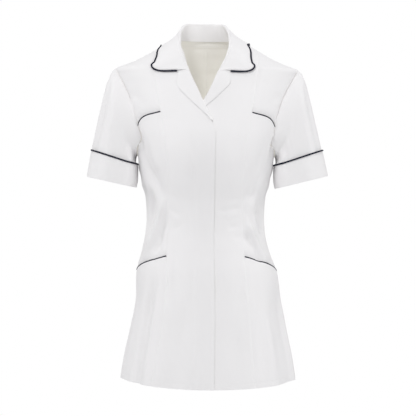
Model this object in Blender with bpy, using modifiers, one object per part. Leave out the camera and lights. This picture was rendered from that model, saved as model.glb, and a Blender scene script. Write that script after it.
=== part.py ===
# Short-sleeved medical tunic, filled out as when worn, with nobody inside.
# Lengths are in millimetres and become metres when a mesh is made.
# The front faces -Y, +Z is up, and the origin lies between the two neck points,
# level with the top of the shoulders. "Own side" means away from the centre line,
# towards the shoulder that a piece belongs to, so one set of sizes serves both sides.
# Places on the body are given as an angle round it and a height. The angle is 0 at
# the centre front, 90 at the side and 180 at the centre back.

import math

import bmesh
import bpy
import numpy as np

MM = 0.001

# Cloth
CLOTH = 1.2
SEAM_GAP = 0.3
LAYER_STEP = 1.6
POCKET_STEP = 2.4
PIPING_RADIUS = {"collar": 1.75, "cuff": 1.9, "pocket": 1.5}

# The tunic's form: one row for each level, from the neck to below the hem
BODY_COLUMNS = ("height", "half_width", "front", "back", "squareness")
BODY_RINGS = (
    (12, 52, 40, 55, 2.0),
    (3, 57, 44, 58, 2.0),
    (-10, 84, 54, 63, 2.0),
    (-23, 106, 60, 68, 2.0),
    (-33, 123, 66, 73, 2.0),
    (-43.5, 143, 72, 77, 2.0),
    (-54, 168, 77, 81, 2.0),
    (-62, 189, 82, 85, 2.0),
    (-76, 188, 89, 89, 2.0),
    (-94, 181, 97, 94, 2.0),
    (-132, 168, 113, 100, 2.05),
    (-171, 155, 127, 102, 2.1),
    (-205, 147, 136, 101, 2.15),
    (-242, 140, 137, 97, 2.15),
    (-290, 130, 126, 90, 2.15),
    (-335, 122.5, 112, 85, 2.15),
    (-390, 122, 107, 86, 2.15),
    (-435, 131, 112, 95, 2.15),
    (-476, 144, 119, 107, 2.2),
    (-538, 149.5, 124, 115, 2.2),
    (-600, 160.5, 129, 122, 2.2),
    (-662, 173, 134, 129, 2.2),
    (-720, 181.5, 137, 133, 2.2),
)

# Seams and edges
SHOULDER_SEAM_ANGLE = 80
NECK_POINT_HEIGHT = 2.5
BACK_NECK_HEIGHT = 4
BACK_TIP_LEVEL = -50
UNDERARM_HEIGHT = -242
ARMHOLE_TOP = -60.5
ARMHOLE_SWING = {"front": 25, "back": 22}
ARMHOLE_TOP_REACH = 25
HEM = {"front": -708, "side": -697.5, "back": -706}
PRINCESS_TOP_HEIGHT = -20
# Distance of the princess seam from the centre, on the wearer's right and left
PRINCESS_COLUMNS = ("height", "right", "left")
PRINCESS_SEAM = (
    (-20, 103, 103),
    (-76, 105, 103),
    (-122, 98.5, 96),
    (-162, 90.5, 91),
    (-210, 84.5, 83.5),
    (-262, 77, 77),
    (-314, 74, 75.5),
    (-346, 77.5, 75),
    (-402, 80, 76.5),
    (-446, 79, 78),
    (-532, 85.5, 81.5),
    (-612, 96, 86.5),
    (-688, 110, 95),
    (-715, 115, 98),
)
# Front edges, measured towards the own side: minus means past the centre line
OPENING_COLUMNS = ("height", "right", "left")
FRONT_OPENING = (
    (2.5, 56.5, 56.5),
    (-6, 56, 54.6),
    (-25, 54, 49.8),
    (-42, 48.5, 41.5),
    (-58, 42, 33),
    (-72.5, 36.4, 25.4),
    (-99, 24.4, 13.5),
    (-132, 9.3, -3.8),
    (-150, 1.2, -10.8),
    (-178, -12, -18),
    (-192, -17.5, -20),
    (-240, -18, -20),
    (-400, -17.5, -20),
    (-715, -17.5, -20),
)
# The skirt hangs a little towards the wearer's left, as if worn on one hip
STANCE = {"from": -385, "to": -575, "aside": 9, "front_stays": 0.65, "reach": 60}
# How far the lapping front lies above the form, and the lower one below it
LAP_LIFT = {"right": 1.0, "left": -0.9}
LAPEL_CROSSING = {"height": -140, "spread": 36, "depth": -4.2}
LAP_REACH = (12, 76)
BREAK_END_HEIGHT = -200
LAP_START = (-84, -112)

# Pocket mouths: height at the princess seam, at the outer end, and how far it bows up
BREAST_MOUTH = {"inner": -157, "outer": -184, "bow": 6.5}
HIP_MOUTH = {"inner": -446, "outer": -479, "bow": 1.5}
POCKET_UNDERLAP = 26
PIPING_TRIM = {"breast_pocket": 3.0, "hip_pocket": 0.9}
POCKET_STEP_LENGTH = 16

# Collar: one row for each section from the centre back to the gorge, with the neck
# edge that it covers, the axis of its roll, its outer edge, how far the roll turns, and
# how far the fall bulges out (in where it is minus, beside the neck)
COLLAR_COLUMNS = ("neck_angle", "neck_height", "roll_x", "roll_y", "roll_z",
                  "edge_angle", "edge_height", "roll_radius", "roll_turn", "fall_bulge")
COLLAR_SECTIONS = (
    (180, 4, 0, 60, 36.5, 180, -9, 2.6, 180, 4),
    (152, 4, 26, 55.5, 36, 152, -10, 2.6, 180, 3),
    (127, 3.5, 41, 42, 34.5, 127, -13, 2.6, 180, 0),
    (107, 3, 49, 21, 28.5, 107, -14.5, 2.6, 180, -2.5),
    (89, 2.5, 52.5, 0, 18.5, 89, -14, 2.6, 180, -3.5),
    (66, 0, 54, -15, 12, 70, -17.5, 2.5, 180, -2.5),
    (47, -6, 54.2, -29, 3, 57, -24.5, 2.4, 175, 0),
    (26.9, -25, 52.5, -58.5, -19, 45, -39, 2.2, 160, 3),
    (18.3, -42, 46.2, -71.5, -40, 37.4, -54, 1.9, 135, 4),
    (14.8, -50.5, 42.3, -75.5, -49.5, 35, -62, 1.8, 120, 4),
    (12.4, -58, 38.6, -79, -57.5, 31.6, -69, 1.8, 105, 4),
    (10.9, -66, 35.2, -82.2, -65.5, 26, -71.6, 1.8, 95, 4),
    (9.9, -72.2, 32.5, -85.2, -71.9, 17.2, -71.6, 1.8, 90, 4),
)
# The neck sits a little towards the wearer's right: what each side adds to its rows
COLLAR_LEAN_COLUMNS = ("neck_angle", "roll_x", "roll_y", "edge_angle", "edge_height",
                       "fall_bulge")
COLLAR_LEAN = {
    "right": (
        (0, 0, 0, 0, 0, 0),
        (0, 0, 0, 0, 0, 0),
        (0, 0, 0, 0, 0, 0),
        (0, 0.5, 0, 0, 0, 0),
        (0, 1, 0, 0.5, 0, 0),
        (0, 1.6, 0, 1, 0, 0.5),
        (0.4, 2, 0.2, 2.5, -0.5, 0.5),
        (0.9, 3.2, 0.4, 1.5, 0, 0),
        (1.0, 3.4, 0.4, 0.5, 0, 0),
        (1.1, 3.6, 0.35, 0.3, 0, 0),
        (1.2, 3.8, 0.35, 0.3, 0, 0),
        (1.2, 3.8, 0.35, 0.6, 0, 0),
        (1.2, 3.8, 0.35, 1, 0, 0),
    ),
    "left": (
        (0, 0, 0, 0, 0, 0),
        (0, -6, 0, 0, 0.8, 0),
        (0, -8.5, 0, -0.5, 1.8, 0.4),
        (0, -9.5, 0, -1.5, 3, 1.2),
        (0, -9.5, 0, -3, 4, 2.4),
        (0, -9, -0.5, -6, 4, 2.4),
        (0, -7.5, -0.8, -5, 2.5, 1.2),
        (-0.9, -6, -0.9, -5.6, 0, 0),
        (-1.3, -5.5, -0.7, -5.4, 0, 0),
        (-1.6, -5.7, -0.6, -5.1, 0, 0),
        (-1.8, -6, -0.6, -4.7, 0, 0),
        (-2, -6.2, -0.6, -4, 0, 0),
        (-2, -6.3, -0.6, -2.6, 0, 0),
    ),
}
ROLL_STEPS = 4
COLLAR_EDGE_LIFT = 2.3
STAND_TUCK = {"inside": 1.9, "past_edge": 1.7, "down": 3.0}
STAND_TUCK_FADE = (15, 50)
STATIONS_PER_SECTION = 2

# Revers: one row for each section from the gorge to the break, as the fold and the
# outer edge, each measured from the centre line towards the own side and by height
REVERS_COLUMNS = ("fold_out", "fold_height", "edge_out", "edge_height")
REVERS_SECTIONS = {
    "right": (
        (34.5, -73.2, 56.5, -73.6),
        (32.3, -77.8, 58.5, -87.5),
        (29.9, -83, 59.3, -99),
        (28, -87.5, 56, -108),
        (22.5, -99, 44.8, -120),
        (14.7, -116, 29.8, -135),
        (3.6, -140.5, 12, -152),
        (-6.6, -162, -2.2, -165),
        (-13, -174.5, -10.2, -173.8),
    ),
    "left": (
        (22.8, -73.2, 46.2, -73.6),
        (20.7, -77.5, 48, -84),
        (18.6, -82.2, 48, -93),
        (16.5, -87, 44, -101.5),
        (11.3, -99, 33.6, -111.5),
        (2.7, -116.5, 18.6, -126),
        (-6.3, -132, 1.6, -141),
        (-11.5, -145, -7, -149.6),
    ),
}
REVERS_ROLL = 1.9
REVERS_ROLL_TURNS = (30, 90, 150)
REVERS_TURN_IN = 9
REVERS_LAID_STEPS = 3

# Sleeve: one row for each section from the armhole to the hem, as its outermost and
# innermost points seen from the front, and its reach to the front and back
SLEEVE_COLUMNS = ("outer_x", "outer_z", "inner_x", "inner_z", "front", "back")
SLEEVE_SECTIONS = (
    (187, -60, 141, -243, -50, 38),
    (195.5, -69, 143, -244.5, -51, 40),
    (202, -82.5, 144, -246, -52, 42),
    (207.5, -104.5, 144.5, -248, -52, 44),
    (216.5, -145, 144.8, -251, -51, 45),
    (225.5, -187, 145, -255, -50, 46),
    (234.5, -231, 145, -261.5, -49, 46),
    (239.5, -256.5, 145.3, -284.5, -48.5, 46),
    (244, -282.5, 146, -306.5, -48, 46),
)
ARMHOLE_FADE = 3.2
UNDERARM_CLEARANCE = 1.7
CUFF_TOP_SECTION = 6.0
SLEEVE_END_SECTION = 6.5
SLEEVE_STRETCH = {"right": 1.0, "left": 1.07}
SLEEVE_DROP = {"right": 3.0, "left": -3.0}
SLEEVE_INNER_X = 142
SLEEVE_SET = 0.75

# Largest folds, one row for each: from and to as angle and height, half width and
# height of the ridge (a trough is minus), on one side or both
FOLD_COLUMNS = ("side", "angle_1", "height_1", "angle_2", "height_2", "half_width", "rise")
FOLDS = (
    ("both", 62, -190, 42, -300, 13, -2.6),
    ("both", 44, -322, 62, -408, 12, 3.0),
    ("both", 62, -300, 72, -400, 13, -2.6),
    ("both", 58, -395, 70, -455, 13, 2.2),
    ("right", 30, -500, 36, -700, 24, 3.5),
    ("right", 52, -520, 56, -700, 26, -3.5),
    ("left", 33, -470, 40, -700, 24, 3.0),
    ("left", 58, -520, 62, -700, 28, -4.0),
    ("both", 74, -520, 78, -700, 24, 3.5),
    ("both", 112, -500, 108, -700, 30, -4.0),
    ("both", 134, -480, 132, -700, 28, 3.5),
    ("both", 158, -520, 156, -700, 26, -3.0),
    ("both", 118, -330, 150, -380, 14, -2.2),
    ("both", 112, -205, 140, -290, 16, -2.4),
)

# Share of a fold's length over which it rises and dies away, and the height below
# which it goes on to the hem instead
FOLD_FADE_IN = (-0.05, 0.3)
FOLD_FADE_OUT = (0.75, 1.05)
FOLD_OPEN_BELOW = -650

# Mesh steps
COLUMNS_CENTRE = 7
COLUMNS_SIDE = 5
COLUMNS_BACK = 10
ROWS = {"shoulder": 11, "armhole": 4, "waist": 8, "skirt": 8, "underlap": 2}
ROWS_BACK = {"shoulder": 5, "armhole": 10}
SLEEVE_ROWS = {"cap": 5, "arm": 4}
CUFF_ROWS = 3
PIPING_STEPS = 11
OPENING_SAMPLES = 400

WHITE_CLOTH = (0.86, 0.87, 0.89, 1)
NAVY = (0.012, 0.012, 0.03, 1)


def smooth(xs, ys, x):
    """Value at x of a smooth curve through the points (xs, ys), xs rising or falling."""
    xs, ys, x = (np.asarray(v, float) for v in (xs, ys, x))
    if xs[0] > xs[-1]:
        xs, ys = xs[::-1], ys[::-1]
    slopes = np.diff(ys) / np.diff(xs)
    tangents = np.concatenate((slopes[:1], (slopes[:-1] + slopes[1:]) / 2, slopes[-1:]))
    x = np.clip(x, xs[0], xs[-1])
    i = np.clip(np.searchsorted(xs, x, side="right") - 1, 0, len(xs) - 2)
    step = xs[i + 1] - xs[i]
    t = (x - xs[i]) / step
    return (ys[i] * (2 * t**3 - 3 * t**2 + 1) + tangents[i] * step * (t**3 - 2 * t**2 + t)
            + ys[i + 1] * (3 * t**2 - 2 * t**3) + tangents[i + 1] * step * (t**3 - t**2))


def column(table, columns, name, x, key="height"):
    """A named column of a table, read at x along its key column."""
    keys = [row[columns.index(key)] for row in table]
    values = [row[columns.index(name)] for row in table]
    return smooth(keys, values, x)


def along(table, steps):
    """Rows of a table, with steps smooth in-between rows for each interval."""
    table = np.asarray(table, float)
    places = np.linspace(0, len(table) - 1, (len(table) - 1) * steps + 1)
    rows = np.arange(len(table))
    return np.stack([smooth(rows, table[:, i], places) for i in range(table.shape[1])], -1)


def ease(x, start, end):
    """0 before start, 1 past end, smooth between them."""
    t = np.clip((np.asarray(x, float) - start) / (end - start), 0, 1)
    return t * t * (3 - 2 * t)


def unit(vectors):
    return vectors / np.maximum(np.linalg.norm(vectors, axis=-1, keepdims=True), 1e-9)


def form(angle, height):
    """Point on the tunic's plain form, own side towards +X."""
    turn = np.radians(np.asarray(angle, float))
    height = np.asarray(height, float)
    width = column(BODY_RINGS, BODY_COLUMNS, "half_width", height)
    front = column(BODY_RINGS, BODY_COLUMNS, "front", height)
    back = column(BODY_RINGS, BODY_COLUMNS, "back", height)
    power = 2 / column(BODY_RINGS, BODY_COLUMNS, "squareness", height)
    across, forward = np.sin(turn), np.cos(turn)
    depth = np.where(forward > 0, front, back)
    x = width * np.sign(across) * np.abs(across)**power
    y = -depth * np.sign(forward) * np.abs(forward)**power
    return np.stack((x, y, height + 0 * x), -1)


def form_normal(angle, height):
    angle, height = np.asarray(angle, float), np.asarray(height, float)
    round_body = form(angle + 0.6, height) - form(angle - 0.6, height)
    up_body = form(angle, height + 1.5) - form(angle, height - 1.5)
    return unit(np.cross(round_body, up_body))


def angle_at(out, height):
    """Angle of the front point that lies a distance out from the centre line."""
    width = column(BODY_RINGS, BODY_COLUMNS, "half_width", height)
    squareness = column(BODY_RINGS, BODY_COLUMNS, "squareness", height)
    share = np.clip(np.abs(out) / width, 0, 1)**(squareness / 2)
    return np.sign(out) * np.degrees(np.arcsin(share))


def fold_rise(side, angle, height):
    """How far the folds lift the cloth at a place on the body."""
    rise = np.zeros(np.broadcast(angle, height).shape)
    here = form(angle, height)
    for row in FOLDS:
        fold = dict(zip(FOLD_COLUMNS, row))
        if fold["side"] not in ("both", side):
            continue
        start = form(fold["angle_1"], fold["height_1"])
        run = form(fold["angle_2"], fold["height_2"]) - start
        t = np.clip((here - start) @ run / (run @ run), 0, 1)
        away = np.linalg.norm(here - start - t[..., None] * run, axis=-1)
        runs_out = fold["height_2"] > FOLD_OPEN_BELOW
        fade = ease(t, *FOLD_FADE_IN) * (1 - ease(t, *FOLD_FADE_OUT) * runs_out)
        rise = rise + fold["rise"] * fade * np.exp(-(away / fold["half_width"])**2)
    return rise


def lap_lift(side, angle, height):
    """Raises the lapping front and sinks the lower one where they cross."""
    out = form(angle, height)[..., 0]
    near = (1 - ease(out, *LAP_REACH)) * ease(-height, -LAP_START[0], -LAP_START[1])
    lift = LAP_LIFT[side] + 0 * out
    if side == "left":
        spread = (height - LAPEL_CROSSING["height"]) / LAPEL_CROSSING["spread"]
        lift = lift + LAPEL_CROSSING["depth"] * np.exp(-spread**2)
    return lift * near * (angle < 85)


def cloth(side, angle, height, lift=0.0):
    """Point on the cloth itself, with its folds, own side towards +X."""
    angle, height = np.broadcast_arrays(np.asarray(angle, float), np.asarray(height, float))
    out = fold_rise(side, angle, height) + lap_lift(side, angle, height) + lift
    return form(angle, height) + form_normal(angle, height) * out[..., None]


def princess(side, height):
    height = np.asarray(height, float)
    out = column(PRINCESS_SEAM, PRINCESS_COLUMNS, side, height)
    fade = ease(height, PRINCESS_TOP_HEIGHT - 14, PRINCESS_TOP_HEIGHT)
    angle = angle_at(out, height) * (1 - fade) + SHOULDER_SEAM_ANGLE * fade
    return np.stack((angle, height), -1)


def opening(side, height):
    """Neckline, roll line and front edge."""
    height = np.asarray(height, float)
    out = column(FRONT_OPENING, OPENING_COLUMNS, side, height)
    fade = ease(height, -3, NECK_POINT_HEIGHT)
    angle = angle_at(out, height) * (1 - fade) + SHOULDER_SEAM_ANGLE * fade
    return np.stack((angle, height), -1)


def opening_heights(side, count):
    """Heights that part the opening, from the neck point to below the break, evenly."""
    heights = np.linspace(NECK_POINT_HEIGHT, BREAK_END_HEIGHT, OPENING_SAMPLES)
    places = opening(side, heights)
    steps = np.linalg.norm(np.diff(form(places[:, 0], places[:, 1]), axis=0), axis=-1)
    length = np.concatenate(((0,), np.cumsum(steps)))
    return np.interp(np.linspace(0, length[-1], count + 1), length, heights)


def hem(angle):
    """Hem height round the body."""
    turn = np.radians(angle)
    middle = np.where(np.cos(turn) > 0, HEM["front"], HEM["back"])
    return HEM["side"] + (middle - HEM["side"]) * np.cos(turn)**2


def armhole(turn):
    """Armhole at a turn of 0 on the shoulder seam, 90 in front, 180 under the arm."""
    turn = np.asarray(turn, float)
    from_seam = (turn + 180) % 360 - 180
    turn = np.radians(turn)
    swing = np.where(np.sin(turn) > 0, -ARMHOLE_SWING["front"], ARMHOLE_SWING["back"])
    angle = 90 + swing * np.abs(np.sin(turn))**0.9
    angle = angle - (90 - SHOULDER_SEAM_ANGLE) * np.exp(-(from_seam / ARMHOLE_TOP_REACH)**2)
    middle = (ARMHOLE_TOP + UNDERARM_HEIGHT) / 2
    return np.stack((angle, middle + (ARMHOLE_TOP - middle) * np.cos(turn)), -1)


def armhole_turn(height):
    middle = (ARMHOLE_TOP + UNDERARM_HEIGHT) / 2
    return np.degrees(np.arccos(np.clip((height - middle) / (ARMHOLE_TOP - middle), -1, 1)))


def shoulder_seam(height_1, height_2, count):
    heights = np.linspace(height_1, height_2, count + 1)
    return np.stack((np.full(count + 1, float(SHOULDER_SEAM_ANGLE)), heights), -1)


def coons(bottom, top, left, right):
    """Grid of places between four edges, rows from the bottom edge to the top one."""
    u = np.linspace(0, 1, len(bottom))[None, :, None]
    v = np.linspace(0, 1, len(left))[:, None, None]
    between = (1 - v) * bottom[None] + v * top[None]
    across = (1 - u) * left[:, None] + u * right[:, None]
    corners = ((1 - v) * ((1 - u) * bottom[0] + u * bottom[-1])
               + v * ((1 - u) * top[0] + u * top[-1]))
    return between + across - corners


def inset(points, edges, pull=SEAM_GAP / 2):
    """Pulls the named edges of a grid in, by half a seam gap where nothing else is said."""
    points = points.copy()
    if "b" in edges:
        points[0] += unit(points[1] - points[0]) * pull
    if "t" in edges:
        points[-1] += unit(points[-2] - points[-1]) * pull
    if "l" in edges:
        points[:, 0] += unit(points[:, 1] - points[:, 0]) * pull
    if "r" in edges:
        points[:, -1] += unit(points[:, -2] - points[:, -1]) * pull
    return points


def parted(points, rows_above):
    """The lower and the upper part of a panel's grid, parted below its top rows."""
    return inset(points[:-rows_above], "t"), inset(points[-rows_above - 1:], "b")


def material(name, colour, roughness):
    made = bpy.data.materials.new(name)
    made.use_nodes = True
    shader = made.node_tree.nodes["Principled BSDF"]
    shader.inputs["Base Color"].default_value = colour
    shader.inputs["Roughness"].default_value = roughness
    shader.inputs["Metallic"].default_value = 0.0
    made.diffuse_color = colour
    return made


def stand(points, side):
    """Points on their own side of the tunic, whose skirt hangs a little to one side."""
    points = np.array(points, float)
    if side == "right":
        points[..., 0] *= -1
    follow = 1 - STANCE["front_stays"] * np.exp(-(points[..., 0] / STANCE["reach"])**2)
    share = ease(-points[..., 2], -STANCE["from"], -STANCE["to"])
    points[..., 0] += STANCE["aside"] * share * follow
    return points


def cloth_piece(collection, name, points, side="right", ring=False):
    """Wall of cloth on a grid of points, made into a solid by Solidify."""
    points = stand(points, side)
    rows, columns = points.shape[:2]
    mesh = bpy.data.meshes.new(name)
    shape = bmesh.new()
    corners = [[shape.verts.new(place * MM) for place in row] for row in points]
    for r in range(rows - 1):
        for c in range(columns if ring else columns - 1):
            after = (c + 1) % columns
            face = [corners[r][c], corners[r][after], corners[r + 1][after], corners[r + 1][c]]
            shape.faces.new(face[::-1] if side == "right" else face)
    shape.to_mesh(mesh)
    shape.free()
    mesh.shade_smooth()
    piece = bpy.data.objects.new(name, mesh)
    piece.data.materials.append(material(name + "_cloth", WHITE_CLOTH, 0.85))
    wall = piece.modifiers.new("wall", "SOLIDIFY")
    wall.thickness = CLOTH * MM
    wall.offset = 0
    collection.objects.link(piece)
    return piece


def piping(collection, name, points, radius, side="right", closed=False):
    """Covered cord along a line of points."""
    points = stand(points, side)
    line = bpy.data.curves.new(name, "CURVE")
    line.dimensions = "3D"
    line.bevel_depth = radius * MM
    line.bevel_resolution = 1
    line.use_fill_caps = True
    spline = line.splines.new("POLY")
    spline.points.add(len(points) - 1)
    for point, place in zip(spline.points, points * MM):
        point.co = (*place, 1)
    spline.use_cyclic_u = closed
    cord = bpy.data.objects.new(name, line)
    cord.data.materials.append(material(name + "_navy", NAVY, 0.6))
    collection.objects.link(cord)
    return cord


def body_stations(side):
    """Heights and armhole turns that neighbouring panels share along their seams."""
    breast = np.linspace(PRINCESS_TOP_HEIGHT, BREAST_MOUTH["inner"], ROWS["shoulder"] + 1)
    waist_rows = ROWS["armhole"] + ROWS["waist"]
    waist = np.linspace(BREAST_MOUTH["inner"], HIP_MOUTH["inner"], waist_rows + 1)
    bottom = float(hem(princess(side, HEM["front"])[0]))
    skirt = np.linspace(HIP_MOUTH["inner"], bottom, ROWS["skirt"] + 1)
    mouth_turn = armhole_turn(BREAST_MOUTH["outer"])
    return {
        "breast": breast,
        "waist": waist,
        "skirt": skirt,
        "armhole_upper": np.linspace(0, mouth_turn, ROWS["shoulder"] + 1),
        "armhole_lower": np.linspace(mouth_turn, 180, ROWS["armhole"] + 1),
        "side_waist": np.linspace(UNDERARM_HEIGHT, HIP_MOUTH["outer"], ROWS["waist"] + 1),
        "side_skirt": np.linspace(HIP_MOUTH["outer"], HEM["side"], ROWS["skirt"] + 1),
        "armhole_back": np.linspace(180, 360, ROWS_BACK["armhole"] + 1),
    }


def side_seam(heights):
    return np.stack((np.full(len(heights), 90.0), heights), -1)


def mouth(inner, outer, bow, count):
    """Pocket mouth between two places, bowed up towards its outer end."""
    t = np.linspace(0, 1, count + 1)[:, None]
    line = inner + (outer - inner) * t
    line[:, 1] += bow * np.sin(np.pi * t[:, 0]**1.35)
    return line


def mouths(side):
    breast = mouth(princess(side, BREAST_MOUTH["inner"]),
                   armhole(armhole_turn(BREAST_MOUTH["outer"])),
                   BREAST_MOUTH["bow"], COLUMNS_SIDE)
    hip = mouth(princess(side, HIP_MOUTH["inner"]), np.array([90.0, HIP_MOUTH["outer"]]),
                HIP_MOUTH["bow"], COLUMNS_SIDE)
    return breast, hip


def hem_line(angle_1, angle_2, count):
    angles = np.linspace(angle_1, angle_2, count + 1)
    return np.stack((angles, hem(angles)), -1)


def centre_front(side):
    """Front panel from the opening to the princess seam, shoulder to hem."""
    stations = body_stations(side)
    heights = np.concatenate((stations["breast"], stations["waist"][1:],
                              stations["skirt"][1:]))
    outer = princess(side, heights)
    outer[0] = (SHOULDER_SEAM_ANGLE, PRINCESS_TOP_HEIGHT)
    # The opening starts higher than the princess seam and is level with it below the break
    first_level = int(np.argmax(heights < BREAK_END_HEIGHT))
    inner_heights = heights.copy()
    inner_heights[:first_level + 1] = opening_heights(side, first_level)
    inner_heights[first_level] = BREAK_END_HEIGHT
    inner_heights[-1] = float(hem(0.0))
    inner = opening(side, inner_heights)
    bottom = hem_line(inner[-1, 0], outer[-1, 0], COLUMNS_CENTRE)
    bottom[0, 1] = inner_heights[-1]
    top = shoulder_seam(NECK_POINT_HEIGHT, PRINCESS_TOP_HEIGHT, COLUMNS_CENTRE)
    places = coons(bottom, top, inner[::-1], outer[::-1])
    return inset(cloth(side, places[..., 0], places[..., 1]), "tr")


def side_panels(side):
    """Side front in its three pieces, parted at the pocket mouths."""
    stations = body_stations(side)
    breast, hip = mouths(side)
    inner = princess(side, stations["breast"])
    inner[0] = (SHOULDER_SEAM_ANGLE, PRINCESS_TOP_HEIGHT)
    upper_outer = armhole(stations["armhole_upper"])
    top = shoulder_seam(PRINCESS_TOP_HEIGHT, upper_outer[0, 1], COLUMNS_SIDE)
    upper = coons(breast, top, inner[::-1], upper_outer[::-1])

    waist_inner = princess(side, stations["waist"])
    waist_outer = np.concatenate((armhole(stations["armhole_lower"]),
                                  side_seam(stations["side_waist"][1:])))
    middle = coons(hip, breast, waist_inner[::-1], waist_outer[::-1])

    skirt_inner = princess(side, stations["skirt"])
    skirt_outer = side_seam(stations["side_skirt"])
    bottom = hem_line(skirt_inner[-1, 0], 90, COLUMNS_SIDE)
    lower = coons(bottom, hip, skirt_inner[::-1], skirt_outer[::-1])
    return upper, middle, lower


def with_underlap(side, places, mouth_row):
    """Panel that goes on behind the one below it, sunk by a layer at the mouth."""
    drop = np.linspace(POCKET_UNDERLAP, 0, ROWS["underlap"] + 1)[:-1, None]
    behind = np.repeat(mouth_row[None], ROWS["underlap"], 0)
    behind[..., 1] -= drop
    behind[:, 0, 0] = princess(side, behind[:, 0, 1])[:, 0]
    rows = np.concatenate((behind, mouth_row[None], places[1:]))
    above = rows[..., 1] - mouth_row[None, :, 1]
    lift = -POCKET_STEP * (1 - ease(above, 2, POCKET_STEP_LENGTH))
    return cloth(side, rows[..., 0], rows[..., 1], lift)


def back_panel(side):
    """Back from the centre seam to the shoulder seam, armhole and side seam."""
    stations = body_stations(side)
    rows = ROWS_BACK
    outer = np.concatenate((shoulder_seam(NECK_POINT_HEIGHT, ARMHOLE_TOP, rows["shoulder"]),
                            armhole(stations["armhole_back"][::-1])[1:],
                            side_seam(stations["side_waist"])[1:],
                            side_seam(stations["side_skirt"])[1:]))
    heights = np.concatenate((
        np.linspace(BACK_NECK_HEIGHT, BACK_TIP_LEVEL, rows["shoulder"] + 1),
        np.linspace(BACK_TIP_LEVEL, UNDERARM_HEIGHT, rows["armhole"] + 1)[1:],
        stations["side_waist"][1:],
        np.linspace(HIP_MOUTH["outer"], HEM["back"], ROWS["skirt"] + 1)[1:]))
    centre = np.stack((np.full(len(outer), 180.0), heights), -1)
    top = np.linspace(outer[0], centre[0], COLUMNS_BACK + 1)
    bottom = hem_line(90, 180, COLUMNS_BACK)
    places = coons(bottom, top, outer[::-1], centre[::-1])
    points = inset(cloth(side, places[..., 0], places[..., 1]), "r")
    return inset(points, "l", 1.5 * SEAM_GAP)


def sleeve_point(side, section, turn):
    """Point of the sleeve at a section number and a turn as on the armhole."""
    section = np.asarray(section, float)
    turn = np.asarray(turn, float)
    rows = np.arange(len(SLEEVE_SECTIONS))
    table = np.array(SLEEVE_SECTIONS, float)

    def ring(place):
        values = {name: smooth(rows, table[:, i], place)
                  for i, name in enumerate(SLEEVE_COLUMNS)}
        cos, sin = np.cos(np.radians(turn)), np.sin(np.radians(turn))
        x = (values["outer_x"] + values["inner_x"]) / 2
        x = x + (values["outer_x"] - values["inner_x"]) / 2 * cos
        z = (values["outer_z"] + values["inner_z"]) / 2
        z = z + (values["outer_z"] - values["inner_z"]) / 2 * cos
        y = np.where(sin > 0, values["front"] * np.abs(sin)**0.9,
                     values["back"] * np.abs(sin)**0.9)
        return np.stack(np.broadcast_arrays(x, y, z), -1)

    place = armhole(turn)
    clearance = UNDERARM_CLEARANCE * ease(np.abs(turn - 180), 75, 20)
    start = cloth(side, place[..., 0], place[..., 1], clearance)
    keep = 1 - ease(section, 0, ARMHOLE_FADE)
    point = ring(section) + keep[..., None] * (start - ring(0 * section))
    stretch = 1 + (SLEEVE_STRETCH[side] - 1) * section / (len(SLEEVE_SECTIONS) - 1)
    out = point[..., 0] - SLEEVE_INNER_X
    point[..., 0] = SLEEVE_INNER_X + out * np.where(out > 0, stretch, 1)
    outer = np.clip(out / 100, 0, 1)
    point[..., 2] -= SLEEVE_DROP[side] * outer * section / (len(SLEEVE_SECTIONS) - 1)
    return point


def sleeve_turns(side):
    stations = body_stations(side)
    turns = np.concatenate((stations["armhole_upper"], stations["armhole_lower"][1:],
                            stations["armhole_back"][1:-1]))
    return turns % 360


def sleeve_grid(side, sections):
    turns = sleeve_turns(side)
    return sleeve_point(side, np.asarray(sections, float)[:, None], turns[None, :])


def moved_out(points, distance):
    """Moves a ring-shaped grid out along its normals."""
    round_ring = np.roll(points, -1, 1) - np.roll(points, 1, 1)
    along_ring = np.gradient(points, axis=0)
    return points + unit(np.cross(round_ring, along_ring)) * distance


def add_sleeve(collection, side):
    cap = np.linspace(0, ARMHOLE_FADE, SLEEVE_ROWS["cap"] + 1)
    arm = np.linspace(ARMHOLE_FADE, SLEEVE_END_SECTION, SLEEVE_ROWS["arm"] + 1)
    sections = np.concatenate((cap, arm[1:]))
    tube = sleeve_grid(side, sections)
    tube[0] += unit(tube[1] - tube[0]) * SLEEVE_SET
    cloth_piece(collection, f"sleeve_{side}", tube[:, ::-1], side, ring=True)
    last = len(SLEEVE_SECTIONS) - 1
    cuff = moved_out(sleeve_grid(side, np.linspace(CUFF_TOP_SECTION, last, CUFF_ROWS + 1)),
                     LAYER_STEP)
    cloth_piece(collection, f"cuff_{side}", cuff[:, ::-1], side, ring=True)
    radius = PIPING_RADIUS["cuff"]
    above, top = sleeve_grid(side, np.array([CUFF_TOP_SECTION - 0.4, CUFF_TOP_SECTION]))
    line = top + unit(above - top) * (radius + 2 * SEAM_GAP)
    lift = CLOTH / 2 + 1.5 * SEAM_GAP + radius
    cord = moved_out(np.stack((line, top)), lift)[0]
    piping(collection, f"piping_cuff_{side}", cord, radius, side, True)


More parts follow.
